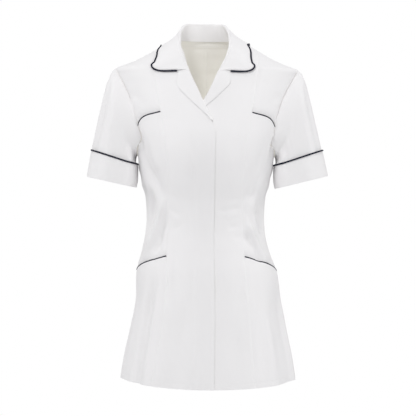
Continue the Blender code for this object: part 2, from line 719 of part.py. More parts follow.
def collar_half(side):
    """Grid of half of the folded collar and its cord, from the centre back to the gorge."""
    rows = along(COLLAR_SECTIONS, STATIONS_PER_SECTION)
    value = dict(zip(COLLAR_COLUMNS, rows.T))
    lean = along(COLLAR_LEAN[side], STATIONS_PER_SECTION)
    for name, shift in zip(COLLAR_LEAN_COLUMNS, lean.T):
        value[name] = value[name] + shift
    neck = form(value["neck_angle"], value["neck_height"])
    neck_normal = form_normal(value["neck_angle"], value["neck_height"])
    axis = np.stack((value["roll_x"], value["roll_y"], value["roll_z"]), -1)
    edge = form(value["edge_angle"], value["edge_height"])
    edge_normal = form_normal(value["edge_angle"], value["edge_height"])
    radius = value["roll_radius"][:, None]
    outward = edge - axis
    outward[:, 2] = 0
    outward = unit(outward)
    ahead = np.gradient(axis, axis=0)
    ahead[0] = (1, 0, 0)
    up = unit(np.cross(outward, ahead))
    up = up * np.sign(np.sum(up * (axis - neck + neck_normal), -1, keepdims=True))
    past_edge = unit(np.cross(np.gradient(neck, axis=0), neck_normal))
    past_edge = past_edge * np.sign(np.sum(past_edge * (axis - edge), -1, keepdims=True))
    down = STAND_TUCK["down"] * (1 - ease(-value["neck_height"], *STAND_TUCK_FADE))
    start = neck - neck_normal * STAND_TUCK["inside"] + past_edge * STAND_TUCK["past_edge"]
    start[:, 2] -= down
    arc = []
    for step in range(ROLL_STEPS + 1):
        turn = np.radians(value["roll_turn"] * step / ROLL_STEPS)[:, None]
        arc.append(axis + radius * (-outward * np.cos(turn) + up * np.sin(turn)))
    finish = edge + edge_normal * COLLAR_EDGE_LIFT
    chord = finish - arc[-1]
    bulge = unit(np.cross(chord, ahead))
    bulge = bulge * np.sign(np.sum(bulge * (up + outward), -1, keepdims=True))
    swell = np.minimum(1, np.linalg.norm(chord, axis=-1) / 45) * value["fall_bulge"]
    swell = swell[:, None]
    fall = [arc[-1] + chord * t + bulge * swell * 4 * t * (1 - t) for t in (0.3, 0.65)]
    profile = [start, start + (arc[0] - start) * 0.5] + arc + fall + [finish]
    half = np.stack(profile, 1)
    along_edge = unit(np.cross(edge_normal, np.gradient(edge, axis=0)))
    away = edge - axis + np.array((0, 0, -30))
    along_edge = along_edge * np.sign(np.sum(along_edge * away, -1, keepdims=True))
    radius = PIPING_RADIUS["collar"]
    cord = edge + along_edge * (radius + 2 * SEAM_GAP)
    cord = cord + edge_normal * (CLOTH / 2 + 2.5 * SEAM_GAP + radius)
    return half, cord


def collar_walls():
    """Grid of the whole collar and its cord, from the wearer's right gorge to the left."""
    mirror = np.array([-1, 1, 1])
    right, right_cord = collar_half("right")
    left, left_cord = collar_half("left")
    whole = np.concatenate((right[:0:-1] * mirror, left))
    whole_cord = np.concatenate((right_cord[:0:-1] * mirror, left_cord))
    return whole, whole_cord


def revers_profile(width):
    """One section of a revers, as distance from its fold and lift off the front."""
    flat = 1.6 * REVERS_ROLL
    profile = [(REVERS_TURN_IN, -REVERS_ROLL), (flat, -REVERS_ROLL)]
    for turn in np.radians(REVERS_ROLL_TURNS):
        profile.append((REVERS_ROLL * (1 - math.sin(turn)), -REVERS_ROLL * math.cos(turn)))
    far = max(width, 1.5 * flat)
    laid = np.linspace(flat, far, REVERS_LAID_STEPS + 1)
    return profile + [(distance, REVERS_ROLL) for distance in laid]


def revers_wall(side):
    """Grid of one revers: turned in behind the front edge, folded and laid on the front."""
    rows = along(REVERS_SECTIONS[side], STATIONS_PER_SECTION)
    value = dict(zip(REVERS_COLUMNS, rows.T))
    fold = np.stack((value["fold_out"], value["fold_height"]), -1)
    edge = np.stack((value["edge_out"], value["edge_height"]), -1)
    width = np.linalg.norm(edge - fold, axis=-1)
    direction = unit(edge - fold)
    grid = []
    for station in range(len(rows)):
        line = []
        for distance, lift in revers_profile(width[station]):
            out, height = fold[station] + direction[station] * distance
            line.append(cloth(side, angle_at(out, height), height, lift))
        grid.append(line)
    return np.array(grid)


def add_pocket_piping(collection, side, name, line):
    """Piping along a pocket mouth, on the free edge of the lower panel."""
    radius = PIPING_RADIUS["pocket"]
    steps = np.linspace(0, len(line) - 1, PIPING_STEPS)
    index = np.arange(len(line))
    angle = smooth(index, line[:, 0], steps)
    height = smooth(index, line[:, 1], steps)
    lift = -POCKET_STEP + CLOTH / 2 + 2 * SEAM_GAP + radius
    points = cloth(side, angle, height + radius + 2 * SEAM_GAP, lift)
    points[0] += unit(points[1] - points[0]) * 3 * SEAM_GAP
    points[-1] += unit(points[-2] - points[-1]) * PIPING_TRIM[name]
    piping(collection, f"piping_{name}_{side}", points, radius, side)


def add_side(collection, side):
    # The longest panels are parted level with the armpit, to keep each solid simple
    tall_panels = (
        ("front_centre", centre_front(side), ROWS["shoulder"] + ROWS["armhole"]),
        ("back", back_panel(side), ROWS_BACK["shoulder"] + ROWS_BACK["armhole"]),
    )
    for name, points, rows_above in tall_panels:
        lower, upper = parted(points, rows_above)
        cloth_piece(collection, f"{name}_lower_{side}", lower, side)
        cloth_piece(collection, f"{name}_upper_{side}", upper, side)
    upper, middle, lower = side_panels(side)
    breast, hip = mouths(side)
    cloth_piece(collection, f"side_front_upper_{side}",
                inset(with_underlap(side, upper, breast), "tlr"), side)
    cloth_piece(collection, f"side_front_middle_{side}",
                inset(with_underlap(side, middle, hip), "lr"), side)
    cloth_piece(collection, f"side_front_lower_{side}",
                inset(cloth(side, lower[..., 0], lower[..., 1]), "lr"), side)
    add_sleeve(collection, side)
    cloth_piece(collection, f"revers_{side}", revers_wall(side), side)
    add_pocket_piping(collection, side, "breast_pocket", breast)
    add_pocket_piping(collection, side, "hip_pocket", hip)


def main():
    for thing in list(bpy.data.objects):
        bpy.data.objects.remove(thing, do_unlink=True)
    collection = bpy.data.collections.new("medical_tunic")
    bpy.context.scene.collection.children.link(collection)
    for side in ("right", "left"):
        add_side(collection, side)
    collar, cord = collar_walls()
    cloth_piece(collection, "collar", collar, "left")
    piping(collection, "piping_collar", cord, PIPING_RADIUS["collar"], "left")


main()
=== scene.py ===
# %% [markdown]
# A short-sleeved medical tunic, filled out as when worn, with nobody inside. Each cloth
# panel is drawn again on the form of its solid, with more points and with its creases,
# so that the cloth is thin and lies softly. Lengths here are in millimetres and become
# metres when a mesh is made. The front faces -Y, and "own side" means towards the
# shoulder that a piece belongs to, so one set of sizes serves both sides.

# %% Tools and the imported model
import math

import bpy
import numpy as np
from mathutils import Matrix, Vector


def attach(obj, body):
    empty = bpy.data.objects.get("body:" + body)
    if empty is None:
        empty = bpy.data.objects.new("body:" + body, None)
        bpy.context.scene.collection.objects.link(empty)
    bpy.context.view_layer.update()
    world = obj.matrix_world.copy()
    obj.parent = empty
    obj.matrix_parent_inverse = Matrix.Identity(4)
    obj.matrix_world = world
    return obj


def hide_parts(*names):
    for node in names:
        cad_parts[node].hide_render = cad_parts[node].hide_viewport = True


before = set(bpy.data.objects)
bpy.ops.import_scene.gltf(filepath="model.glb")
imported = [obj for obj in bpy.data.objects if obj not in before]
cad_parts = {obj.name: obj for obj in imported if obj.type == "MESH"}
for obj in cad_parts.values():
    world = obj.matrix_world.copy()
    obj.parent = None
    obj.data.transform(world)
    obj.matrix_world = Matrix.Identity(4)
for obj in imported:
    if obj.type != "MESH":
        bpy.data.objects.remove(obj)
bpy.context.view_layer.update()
MM = 0.001
SIDES = ("right", "left")


def put_in_scene(name, data):
    """New object in the scene with this mesh, light or camera."""
    thing = bpy.data.objects.new(name, data)
    bpy.context.scene.collection.objects.link(thing)
    return thing


print("solids:", len(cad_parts))

# %% [markdown]
# The camera comes first, because the photograph sets it: level, three metres away, with
# a hair of roll, and a frame about 0.86 m wide at the side seams. The picture is 416
# pixels square, and one of them covers 2.07 mm there.

# %% Camera
PIXELS = 416
MM_PER_PIXEL = 2.07
CAMERA = {"distance": 3000, "height": -348, "roll": 0.58, "aside_pixels": 2.7}
SENSOR = 36.0

camera_data = bpy.data.cameras.new("camera")
camera_data.sensor_width = SENSOR
camera_data.lens = SENSOR * CAMERA["distance"] / (PIXELS * MM_PER_PIXEL)
camera_data.shift_x = CAMERA["aside_pixels"] / PIXELS
camera_data.clip_end = 50
camera = put_in_scene("camera", camera_data)
camera.location = (0, -CAMERA["distance"] * MM, CAMERA["height"] * MM)
camera.rotation_euler = (math.radians(90), 0, 0)
camera.rotation_euler.rotate_axis("Z", math.radians(CAMERA["roll"]))
bpy.context.scene.camera = camera
print("lens:", round(camera_data.lens, 1), "mm")

# %% [markdown]
# The body's form is a stack of rounded rings, one for each level. Everything on the
# body is placed by an angle round it and a height, so panels, seams and pockets share
# their edges. The tables are the sizes that the solids were made from.

# %% The tunic's form
BODY_COLUMNS = ("height", "half_width", "front", "back", "squareness")
BODY_RINGS = (
    (12, 52, 40, 55, 2.0),
    (3, 57, 44, 58, 2.0),
    (-10, 84, 54, 63, 2.0),
    (-23, 106, 60, 68, 2.0),
    (-33, 123, 66, 73, 2.0),
    (-43.5, 143, 72, 77, 2.0),
    (-54, 168, 77, 81, 2.0),
    (-62, 189, 82, 85, 2.0),
    (-76, 188, 89, 89, 2.0),
    (-94, 181, 97, 94, 2.0),
    (-132, 168, 113, 100, 2.05),
    (-171, 155, 127, 102, 2.1),
    (-205, 147, 136, 101, 2.15),
    (-242, 140, 137, 97, 2.15),
    (-290, 130, 126, 90, 2.15),
    (-335, 122.5, 112, 85, 2.15),
    (-390, 122, 107, 86, 2.15),
    (-435, 131, 112, 95, 2.15),
    (-476, 144, 119, 107, 2.2),
    (-538, 149.5, 124, 115, 2.2),
    (-600, 160.5, 129, 122, 2.2),
    (-662, 173, 134, 129, 2.2),
    (-720, 181.5, 137, 133, 2.2),
)
NORMAL_STEP = {"angle": 0.6, "height": 1.5}


def smooth(xs, ys, x):
    """Value at x of a smooth curve through the points (xs, ys), xs rising or falling."""
    xs, ys, x = (np.asarray(v, float) for v in (xs, ys, x))
    if xs[0] > xs[-1]:
        xs, ys = xs[::-1], ys[::-1]
    slopes = np.diff(ys) / np.diff(xs)
    tangents = np.concatenate((slopes[:1], (slopes[:-1] + slopes[1:]) / 2, slopes[-1:]))
    x = np.clip(x, xs[0], xs[-1])
    i = np.clip(np.searchsorted(xs, x, side="right") - 1, 0, len(xs) - 2)
    step = xs[i + 1] - xs[i]
    t = (x - xs[i]) / step
    return (ys[i] * (2 * t**3 - 3 * t**2 + 1) + tangents[i] * step * (t**3 - 2 * t**2 + t)
            + ys[i + 1] * (3 * t**2 - 2 * t**3) + tangents[i + 1] * step * (t**3 - t**2))


def column(table, columns, name, x, key="height"):
    """A named column of a table, read at x along its key column."""
    keys = [row[columns.index(key)] for row in table]
    values = [row[columns.index(name)] for row in table]
    return smooth(keys, values, x)


def along(table, steps):
    """Rows of a table, with steps smooth in-between rows for each interval."""
    table = np.asarray(table, float)
    places = np.linspace(0, len(table) - 1, (len(table) - 1) * steps + 1)
    rows = np.arange(len(table))
    return np.stack([smooth(rows, table[:, i], places) for i in range(table.shape[1])], -1)


def ease(x, start, end):
    """0 before start, 1 past end, smooth between them."""
    t = np.clip((np.asarray(x, float) - start) / (end - start), 0, 1)
    return t * t * (3 - 2 * t)


def unit(vectors):
    """The same directions, each one long."""
    return vectors / np.maximum(np.linalg.norm(vectors, axis=-1, keepdims=True), 1e-9)


def run_length(points, axis):
    """Distance travelled along one axis of a line or grid of points."""
    steps = np.linalg.norm(np.diff(points, axis=axis), axis=-1)
    zero = np.zeros_like(np.take(steps, [0], axis=axis))
    return np.concatenate((zero, np.cumsum(steps, axis=axis)), axis=axis)


def form(angle, height):
    """Point on the tunic's plain form, own side towards +X."""
    turn = np.radians(np.asarray(angle, float))
    height = np.asarray(height, float)
    width = column(BODY_RINGS, BODY_COLUMNS, "half_width", height)
    front = column(BODY_RINGS, BODY_COLUMNS, "front", height)
    back = column(BODY_RINGS, BODY_COLUMNS, "back", height)
    power = 2 / column(BODY_RINGS, BODY_COLUMNS, "squareness", height)
    across, forward = np.sin(turn), np.cos(turn)
    depth = np.where(forward > 0, front, back)
    x = width * np.sign(across) * np.abs(across)**power
    y = -depth * np.sign(forward) * np.abs(forward)**power
    return np.stack((x, y, height + 0 * x), -1)


def form_normal(angle, height):
    """Way out of the plain form, from two short steps across the place."""
    angle, height = np.asarray(angle, float), np.asarray(height, float)
    turn, rise = NORMAL_STEP["angle"], NORMAL_STEP["height"]
    round_body = form(angle + turn, height) - form(angle - turn, height)
    up_body = form(angle, height + rise) - form(angle, height - rise)
    return unit(np.cross(round_body, up_body))


def angle_at(out, height):
    """Angle of the front point that lies a distance out from the centre line."""
    width = column(BODY_RINGS, BODY_COLUMNS, "half_width", height)
    squareness = column(BODY_RINGS, BODY_COLUMNS, "squareness", height)
    share = np.clip(np.abs(out) / width, 0, 1)**(squareness / 2)
    return np.sign(out) * np.degrees(np.arcsin(share))


print("chest ring at -242:", np.round(form(np.array([0, 90, 180]), -242.0), 1).tolist())

# %% [markdown]
# Creases are laid where the photograph shows them: drag lines from the armpit
# to the waist, soft ridges from the waist to the hip, flutes in the skirt. Each row is
# one ridge, or a trough where its rise is minus, from one place to another, with a bow
# to one side. The hidden back gets creases of the same kind. The first rows are the
# largest folds, which the solids have too.

# %% Folds and creases
FOLD_COLUMNS = ("side", "angle_1", "height_1", "angle_2", "height_2", "half_width", "rise")
FOLDS = (
    ("both", 62, -190, 42, -300, 13, -2.6),
    ("both", 44, -322, 62, -408, 12, 3.0),
    ("both", 62, -300, 72, -400, 13, -2.6),
    ("both", 58, -395, 70, -455, 13, 2.2),
    ("right", 30, -500, 36, -700, 24, 3.5),
    ("right", 52, -520, 56, -700, 26, -3.5),
    ("left", 33, -470, 40, -700, 24, 3.0),
    ("left", 58, -520, 62, -700, 28, -4.0),
    ("both", 74, -520, 78, -700, 24, 3.5),
    ("both", 112, -500, 108, -700, 30, -4.0),
    ("both", 134, -480, 132, -700, 28, 3.5),
    ("both", 158, -520, 156, -700, 26, -3.0),
    ("both", 118, -330, 150, -380, 14, -2.2),
    ("both", 112, -205, 140, -290, 16, -2.4),
)
FOLD_FADE_IN = (-0.05, 0.3)
FOLD_FADE_OUT = (0.75, 1.05)
FOLD_OPEN_BELOW = -650

CREASE_COLUMNS = ("side", "angle_1", "height_1", "angle_2", "height_2", "bow",
                  "half_width", "rise")
CREASES = (
    # Armpit to waist
    ("both", 87, -246, 86, -322, 0, 14, 3.0),
    ("right", 70, -170, 40, -335, 8, 12, -10.5),
    ("right", 50, -190, 40, -290, 5, 9, 1.8),
    ("right", 78, -225, 62, -330, 5, 8, 2.4),
    ("right", 60, -305, 68, -412, 0, 9, -7.2),
    ("left", 73, -180, 60, -290, 4, 9, -6.6),
    ("left", 62, -225, 42, -345, 4, 11, -5.2),
    ("left", 78, -240, 70, -340, 2, 8, 2.4),
    # Waist to hip
    ("right", 41, -318, 66, -456, -3, 6.4, 9.0),
    ("right", 38, -345, 49, -462, 3, 9, -7.2),
    ("right", 72, -345, 78, -430, 0, 7, 2.2),
    ("left", 40, -356, 66, -464, -3, 6.4, 7.6),
    ("left", 38, -388, 52, -466, 3, 9, -5.6),
    ("left", 56, -335, 72, -410, 0, 9, -6.0),
    ("left", 76, -330, 79, -410, 0, 7, 1.8),
    # Fine waist creases on the centre fronts
    ("right", 38, -344, 20, -366, 3, 4.5, -1.3),
    ("right", 37, -353, 22, -376, 3, 4, 0.7),
    ("right", 35, -398, 14, -370, 2, 6, -1.0),
    ("right", 36, -322, 26, -330, 1, 4, -0.7),
    ("left", 36, -350, 9, -358, -2, 4.5, -1.4),
    ("left", 37, -360, 14, -369, -2, 4, 0.7),
    ("left", 36, -381, 18, -388, 2, 4.5, -1.2),
    ("left", 36, -408, 24, -402, 2, 4.5, -1.1),
    ("left", 34, -330, 20, -336, -1, 4, -0.7),
    # Chest and shoulder
    ("both", 66, -112, 46, -150, -3, 9, -1.5),
    ("both", 72, -82, 58, -128, -2, 8, 1.5),
    ("right", 30, -150, 26, -230, 0, 12, -1.3),
    ("left", 28, -170, 22, -260, 0, 12, -1.4),
    ("right", 12, -210, 14, -300, 0, 12, 1.0),
    # Skirt
    ("right", 37, -448, 44, -712, 5, 8, 4.4),
    ("right", 46, -455, 53, -712, 7, 11, -4.6),
    ("right", 64, -480, 60, -712, -6, 16, 1.6),
    ("right", 76, -500, 74, -712, 4, 12, -1.6),
    ("left", 37, -462, 38, -712, 4, 10, -3.0),
    ("left", 52, -478, 50, -712, -7, 14, 3.2),
    ("left", 68, -490, 71, -712, 5, 13, -5.4),
    ("left", 14, -560, 20, -712, 4, 18, -1.2),
    ("right", 13, -520, 21, -712, -5, 18, -1.3),
    ("left", 26, -450, 24, -560, 3, 10, -1.2),
    ("right", 28, -430, 24, -540, -3, 10, -1.2),
    # Back
    ("both", 104, -214, 128, -300, -6, 8, 2.4),
    ("both", 108, -206, 122, -280, -4, 8, -2.6),
    ("both", 100, -300, 150, -352, 6, 6, 2.6),
    ("both", 102, -356, 152, -372, 5, 5, -2.4),
    ("both", 104, -402, 146, -384, -4, 6, 2.0),
    ("right", 158, -352, 179, -366, 2, 5, -1.7),
    ("left", 154, -372, 178, -380, -2, 5, 1.5),
    ("both", 112, -92, 128, -170, 4, 10, -2.0),
    ("both", 122, -470, 120, -712, 0, 11, 2.8),
    ("both", 146, -450, 145, -712, 0, 12, -2.6),
    ("both", 168, -440, 168, -712, 0, 12, 2.0),
)
CREASE_FADE = 0.32
CREASE_FLANKS = {"steep": 0.75, "gentle": 1.35}
CREASE_DEPTH_REACH = 40
CREASE_UNEVEN = {"share": 0.25, "waves": 9}
SLACK = {"rise": 0.4, "left_turn": 0.7, "fine_share": 0.6}


def rows_for(side, table, columns):
    """Numbered rows of a table that belong to one side, by the names of their columns."""
    for number, row in enumerate(table):
        if row[0] in ("both", side):
            yield number, dict(zip(columns, row))


def fold_rise(side, angle, height):
    """How far the folds lift the cloth at a place on the body."""
    rise = np.zeros(np.broadcast(angle, height).shape)
    here = form(angle, height)
    for _, fold in rows_for(side, FOLDS, FOLD_COLUMNS):
        start = form(fold["angle_1"], fold["height_1"])
        run = form(fold["angle_2"], fold["height_2"]) - start
        t = np.clip((here - start) @ run / (run @ run), 0, 1)
        away = np.linalg.norm(here - start - t[..., None] * run, axis=-1)
        runs_out = fold["height_2"] > FOLD_OPEN_BELOW
        fade = ease(t, *FOLD_FADE_IN) * (1 - ease(t, *FOLD_FADE_OUT) * runs_out)
        rise = rise + fold["rise"] * fade * np.exp(-(away / fold["half_width"])**2)
    return rise


def crease_rise(side, angle, height):
    """Lift of the finer creases, bowed, and steeper on one flank than on the other."""
    rise = np.zeros(np.broadcast(angle, height).shape)
    here = form(angle, height)
    for number, crease in rows_for(side, CREASES, CREASE_COLUMNS):
        start = form(crease["angle_1"], crease["height_1"])
        end = form(crease["angle_2"], crease["height_2"])
        run = end - start
        middle = ((crease["angle_1"] + crease["angle_2"]) / 2,
                  (crease["height_1"] + crease["height_2"]) / 2)
        normal = form_normal(*middle)
        across = unit(np.cross(normal, run))
        t = (here - start) @ run / (run @ run)
        bow = crease["bow"] * 4 * t * (1 - t)
        away = (here - start) @ across - bow
        width = crease["half_width"] * np.where(
            away > 0, CREASE_FLANKS["steep"], CREASE_FLANKS["gentle"])
        off_form = (here - start - t[..., None] * run) @ normal
        near = np.exp(-(off_form / CREASE_DEPTH_REACH)**2)
        runs_out = crease["height_2"] > FOLD_OPEN_BELOW
        fade = ease(t, 0, CREASE_FADE) * (1 - ease(t, 1 - CREASE_FADE, 1) * runs_out)
        ripple = np.sin(CREASE_UNEVEN["waves"] * t + number)
        fade = fade * (1 + CREASE_UNEVEN["share"] * ripple)
        rise = rise + crease["rise"] * fade * near * np.exp(-(away / width)**2)
    return rise


def slack(side, angle, height):
    """Faint unevenness of cloth that nothing pulls tight."""
    turn = np.radians(angle) + (SLACK["left_turn"] if side == "left" else 0.0)
    wave = np.sin(5.3 * turn + height / 61) * np.sin(height / 37 - 2.1 * turn)
    wave = wave + SLACK["fine_share"] * np.sin(11 * turn - height / 83) * np.sin(height / 23 + 1.3)
    return SLACK["rise"] * wave


print(len(FOLDS), "large folds and", len(CREASES), "creases")

# %% [markdown]
# The front opens down the middle, and the wearer's right front laps over the left one.
# Where they cross, the upper one is lifted a little and the lower one sinks, so that
# both layers have room. A fly is stitched about 42 mm in from the edge of the upper
# front, and its extra layers make that strip stand a shade higher.

# %% Seam lines, front edges and lap
SHOULDER_SEAM_ANGLE = 80
NECK_POINT_HEIGHT = 2.5
NECK_POINT_FADE = -3
BACK_NECK_HEIGHT = 4
BACK_TIP_LEVEL = -50
UNDERARM_HEIGHT = -242
ARMHOLE_TOP = -60.5
ARMHOLE_MIDDLE = (ARMHOLE_TOP + UNDERARM_HEIGHT) / 2
ARMHOLE_SWING = {"front": 25, "back": 22}
ARMHOLE_TOP_REACH = 25
ARMHOLE_ROUNDNESS = 0.9
HEM = {"front": -708, "side": -697.5, "back": -706}
PRINCESS_TOP_HEIGHT = -20
PRINCESS_TOP_FADE = 14
PRINCESS_COLUMNS = ("height", "right", "left")
PRINCESS_SEAM = (
    (-20, 103, 103),
    (-76, 105, 103),
    (-122, 98.5, 96),
    (-162, 90.5, 91),
    (-210, 84.5, 83.5),
    (-262, 77, 77),
    (-314, 74, 75.5),
    (-346, 77.5, 75),
    (-402, 80, 76.5),
    (-446, 79, 78),
    (-532, 85.5, 81.5),
    (-612, 96, 86.5),
    (-688, 110, 95),
    (-715, 115, 98),
)
OPENING_COLUMNS = ("height", "right", "left")
FRONT_OPENING = (
    (2.5, 56.5, 56.5),
    (-6, 56, 54.6),
    (-25, 54, 49.8),
    (-42, 48.5, 41.5),
    (-58, 42, 33),
    (-72.5, 36.4, 25.4),
    (-99, 24.4, 13.5),
    (-132, 9.3, -3.8),
    (-150, 1.2, -10.8),
    (-178, -12, -18),
    (-192, -17.5, -20),
    (-240, -18, -20),
    (-400, -17.5, -20),
    (-715, -17.5, -20),
)
# The skirt hangs to the wearer's left, and the front edge follows it only in part
STANCE = {"from": -385, "to": -575, "aside": 9, "front_stays": 0.65, "reach": 60}
LAP_LIFT = {"right": 1.0, "left": -0.9}
LAPEL_CROSSING = {"height": -140, "spread": 36, "depth": -4.2}
LAP_REACH = (12, 76)
BREAK_END_HEIGHT = -200
LAP_START = (-84, -112)
OPENING_SAMPLES = 400
LAP_END_ANGLE = 85
FLY = {"stitch_from_edge": 42, "lift": 0.55, "edge_stitch": 6, "top": -204,
       "top_fade": 24, "end_angle": 60}
FLY_STEP = {"inside": 2.2, "outside": 0.4}
FLY_SEAM_DIP = {"depth": 0.35, "width": 1.1}
EDGE_SEAM_DIP = {"depth": 0.25, "width": 1.0}


def to_shoulder(out, height, fade):
    """Places out from the centre line that run into the shoulder seam as fade nears 1."""
    angle = angle_at(out, height) * (1 - fade) + SHOULDER_SEAM_ANGLE * fade
    return np.stack((angle, height), -1)


def princess(side, height):
    """Princess seam, from the shoulder over the bust to the hem."""
    height = np.asarray(height, float)
    out = column(PRINCESS_SEAM, PRINCESS_COLUMNS, side, height)
    fade = ease(height, PRINCESS_TOP_HEIGHT - PRINCESS_TOP_FADE, PRINCESS_TOP_HEIGHT)
    return to_shoulder(out, height, fade)


def opening(side, height):
    """Neckline, roll line and front edge."""
    height = np.asarray(height, float)
    out = column(FRONT_OPENING, OPENING_COLUMNS, side, height)
    fade = ease(height, NECK_POINT_FADE, NECK_POINT_HEIGHT)
    return to_shoulder(out, height, fade)


def opening_heights(side, count):
    """Heights that part the opening, from the neck point to below the break, evenly."""
    heights = np.linspace(NECK_POINT_HEIGHT, BREAK_END_HEIGHT, OPENING_SAMPLES)
    places = opening(side, heights)
    length = run_length(form(places[:, 0], places[:, 1]), 0)
    return np.interp(np.linspace(0, length[-1], count + 1), length, heights)


def hem(angle):
    """Hem height round the body."""
    turn = np.radians(angle)
    middle = np.where(np.cos(turn) > 0, HEM["front"], HEM["back"])
    return HEM["side"] + (middle - HEM["side"]) * np.cos(turn)**2


def armhole(turn):
    """Armhole at a turn of 0 on the shoulder seam, 90 in front, 180 under the arm."""
    turn = np.asarray(turn, float)
    from_seam = (turn + 180) % 360 - 180
    turn = np.radians(turn)
    swing = np.where(np.sin(turn) > 0, -ARMHOLE_SWING["front"], ARMHOLE_SWING["back"])
    angle = 90 + swing * np.abs(np.sin(turn))**ARMHOLE_ROUNDNESS
    angle = angle - (90 - SHOULDER_SEAM_ANGLE) * np.exp(-(from_seam / ARMHOLE_TOP_REACH)**2)
    height = ARMHOLE_MIDDLE + (ARMHOLE_TOP - ARMHOLE_MIDDLE) * np.cos(turn)
    return np.stack((angle, height), -1)


def armhole_turn(height):
    """Turn at which the front of the armhole passes a height."""
    share = (height - ARMHOLE_MIDDLE) / (ARMHOLE_TOP - ARMHOLE_MIDDLE)
    return np.degrees(np.arccos(np.clip(share, -1, 1)))


def shoulder_seam(height_1, height_2, count):
    """Places along the shoulder seam, from one height to another."""
    heights = np.linspace(height_1, height_2, count + 1)
    return np.stack((np.full(count + 1, float(SHOULDER_SEAM_ANGLE)), heights), -1)


def lap_lift(side, angle, height):
    """Raises the lapping front and sinks the lower one where they cross."""
    out = form(angle, height)[..., 0]
    near = (1 - ease(out, *LAP_REACH)) * ease(-height, -LAP_START[0], -LAP_START[1])
    lift = LAP_LIFT[side] + 0 * out
    if side == "left":
        spread = (height - LAPEL_CROSSING["height"]) / LAPEL_CROSSING["spread"]
        lift = lift + LAPEL_CROSSING["depth"] * np.exp(-spread**2)
    return lift * near * (angle < LAP_END_ANGLE)


def fly_lift(side, angle, height):
    """The stitched fly stands a little proud of the rest of the upper front."""
    if side == "left":
        return 0.0
    edge = column(FRONT_OPENING, OPENING_COLUMNS, side, height)
    inside = form(angle, height)[..., 0] - edge
    seam_at = FLY["stitch_from_edge"]
    strip = 1 - ease(inside, seam_at - FLY_STEP["inside"], seam_at + FLY_STEP["outside"])
    seam = np.exp(-((inside - seam_at) / FLY_SEAM_DIP["width"])**2)
    edge_seam = np.exp(-((inside - FLY["edge_stitch"]) / EDGE_SEAM_DIP["width"])**2)
    below = 1 - ease(height, FLY["top"], FLY["top"] + FLY["top_fade"])
    lift = (FLY["lift"] * strip - FLY_SEAM_DIP["depth"] * seam
            - EDGE_SEAM_DIP["depth"] * edge_seam)
    return lift * below * (angle < FLY["end_angle"])


SHOULDER_CALM = {"share": 0.75, "from": -85, "to": -40}


def cloth(side, angle, height, lift=0.0):
    """Point on the cloth itself, with its folds and creases, own side towards +X."""
    angle, height = np.broadcast_arrays(np.asarray(angle, float), np.asarray(height, float))
    calm = 1 - SHOULDER_CALM["share"] * ease(height, SHOULDER_CALM["from"], SHOULDER_CALM["to"])
    out = fold_rise(side, angle, height) + lap_lift(side, angle, height) + lift
    out = out + calm * (crease_rise(side, angle, height) + slack(side, angle, height))
    out = out + fly_lift(side, angle, height)
    return form(angle, height) + form_normal(angle, height) * out[..., None]


print("princess seam at the waist:", princess("right", -350).round(1).tolist())

# %% [markdown]
# A panel is a grid of places between four edges. It becomes a mesh of quads with a UV
# map in metres of cloth, and Solidify gives it the thickness of two pressed layers.
# Near a seam the cloth dips, because the real edges are turned in and pressed there.
# At a hem the cloth is turned under and comes up again on the inside.

# %% Grids and shells
# Thickness of the drawn cloth, turned rims sharper than this angle, and how far a hem
# turns under: each step is a rise up the inside and a lift off the outer face
SHELL = 0.9
RIM_ANGLE = 55
SEAM_DIP = {"depth": 0.9, "width": 2.2}
PUCKER = {"rise": 0.13, "length": 8.5, "width": 7.0, "drift": 3, "drift_length": 47}
HEM_DEPTH = 14.0
HEM_STEPS = ((0.5, -0.35), (0.2, -0.95), (2.0, -1.35), (7.0, -1.35), (HEM_DEPTH, -1.3))


def coons(bottom, top, left, right):
    """Grid of places between four edges, rows from the bottom edge to the top one."""
    u = np.linspace(0, 1, len(bottom))[None, :, None]
    v = np.linspace(0, 1, len(left))[:, None, None]
    between = (1 - v) * bottom[None] + v * top[None]
    across = (1 - u) * left[:, None] + u * right[:, None]
    corners = ((1 - v) * ((1 - u) * bottom[0] + u * bottom[-1])
               + v * ((1 - u) * top[0] + u * top[-1]))
    return between + across - corners


def grid_normals(points, ring=False):
    """Way out of a grid at each of its points."""
    if ring:
        round_grid = np.roll(points, -1, 1) - np.roll(points, 1, 1)
    else:
        round_grid = np.gradient(points, axis=1)
    return unit(np.cross(round_grid, np.gradient(points, axis=0)))


def pressed_seams(points, edges, sign=1.0):
    """Dips and puckers the named edges of a grid (b, t, l, r)."""
    across, up = run_length(points, 1), run_length(points, 0)
    far = {"l": across, "r": across[:, -1:] - across, "b": up, "t": up[-1:] - up}
    ahead = {"l": up, "r": up, "b": across, "t": across}
    normals = grid_normals(points) * sign
    lift = np.zeros(points.shape[:2])
    for edge in edges:
        lift -= SEAM_DIP["depth"] * np.exp(-(far[edge] / SEAM_DIP["width"])**2)
        drift = PUCKER["drift"] * np.sin(ahead[edge] / PUCKER["drift_length"])
        ripple = np.sin(ahead[edge] / PUCKER["length"] * 2 * np.pi + drift)
        lift += PUCKER["rise"] * ripple * np.exp(-(far[edge] / PUCKER["width"])**2)
    return points + normals * lift[..., None]


def turned_under(points, sign=1.0):
    """Adds rows below the first one: round the hem edge and up the inside."""
    normals = grid_normals(points)[0] * sign
    up = unit(points[1] - points[0])
    rows = [points[0] + up * rise + normals * lift for rise, lift in HEM_STEPS]
    return np.concatenate((np.array(rows[::-1]), points))


def stand(points, side):
    """Points on their own side of the tunic, whose skirt hangs a little to one side."""
    points = np.array(points, float)
    if side == "right":
        points[..., 0] *= -1
    follow = 1 - STANCE["front_stays"] * np.exp(-(points[..., 0] / STANCE["reach"])**2)
    share = ease(-points[..., 2], -STANCE["from"], -STANCE["to"])
    points[..., 0] += STANCE["aside"] * share * follow
    return points


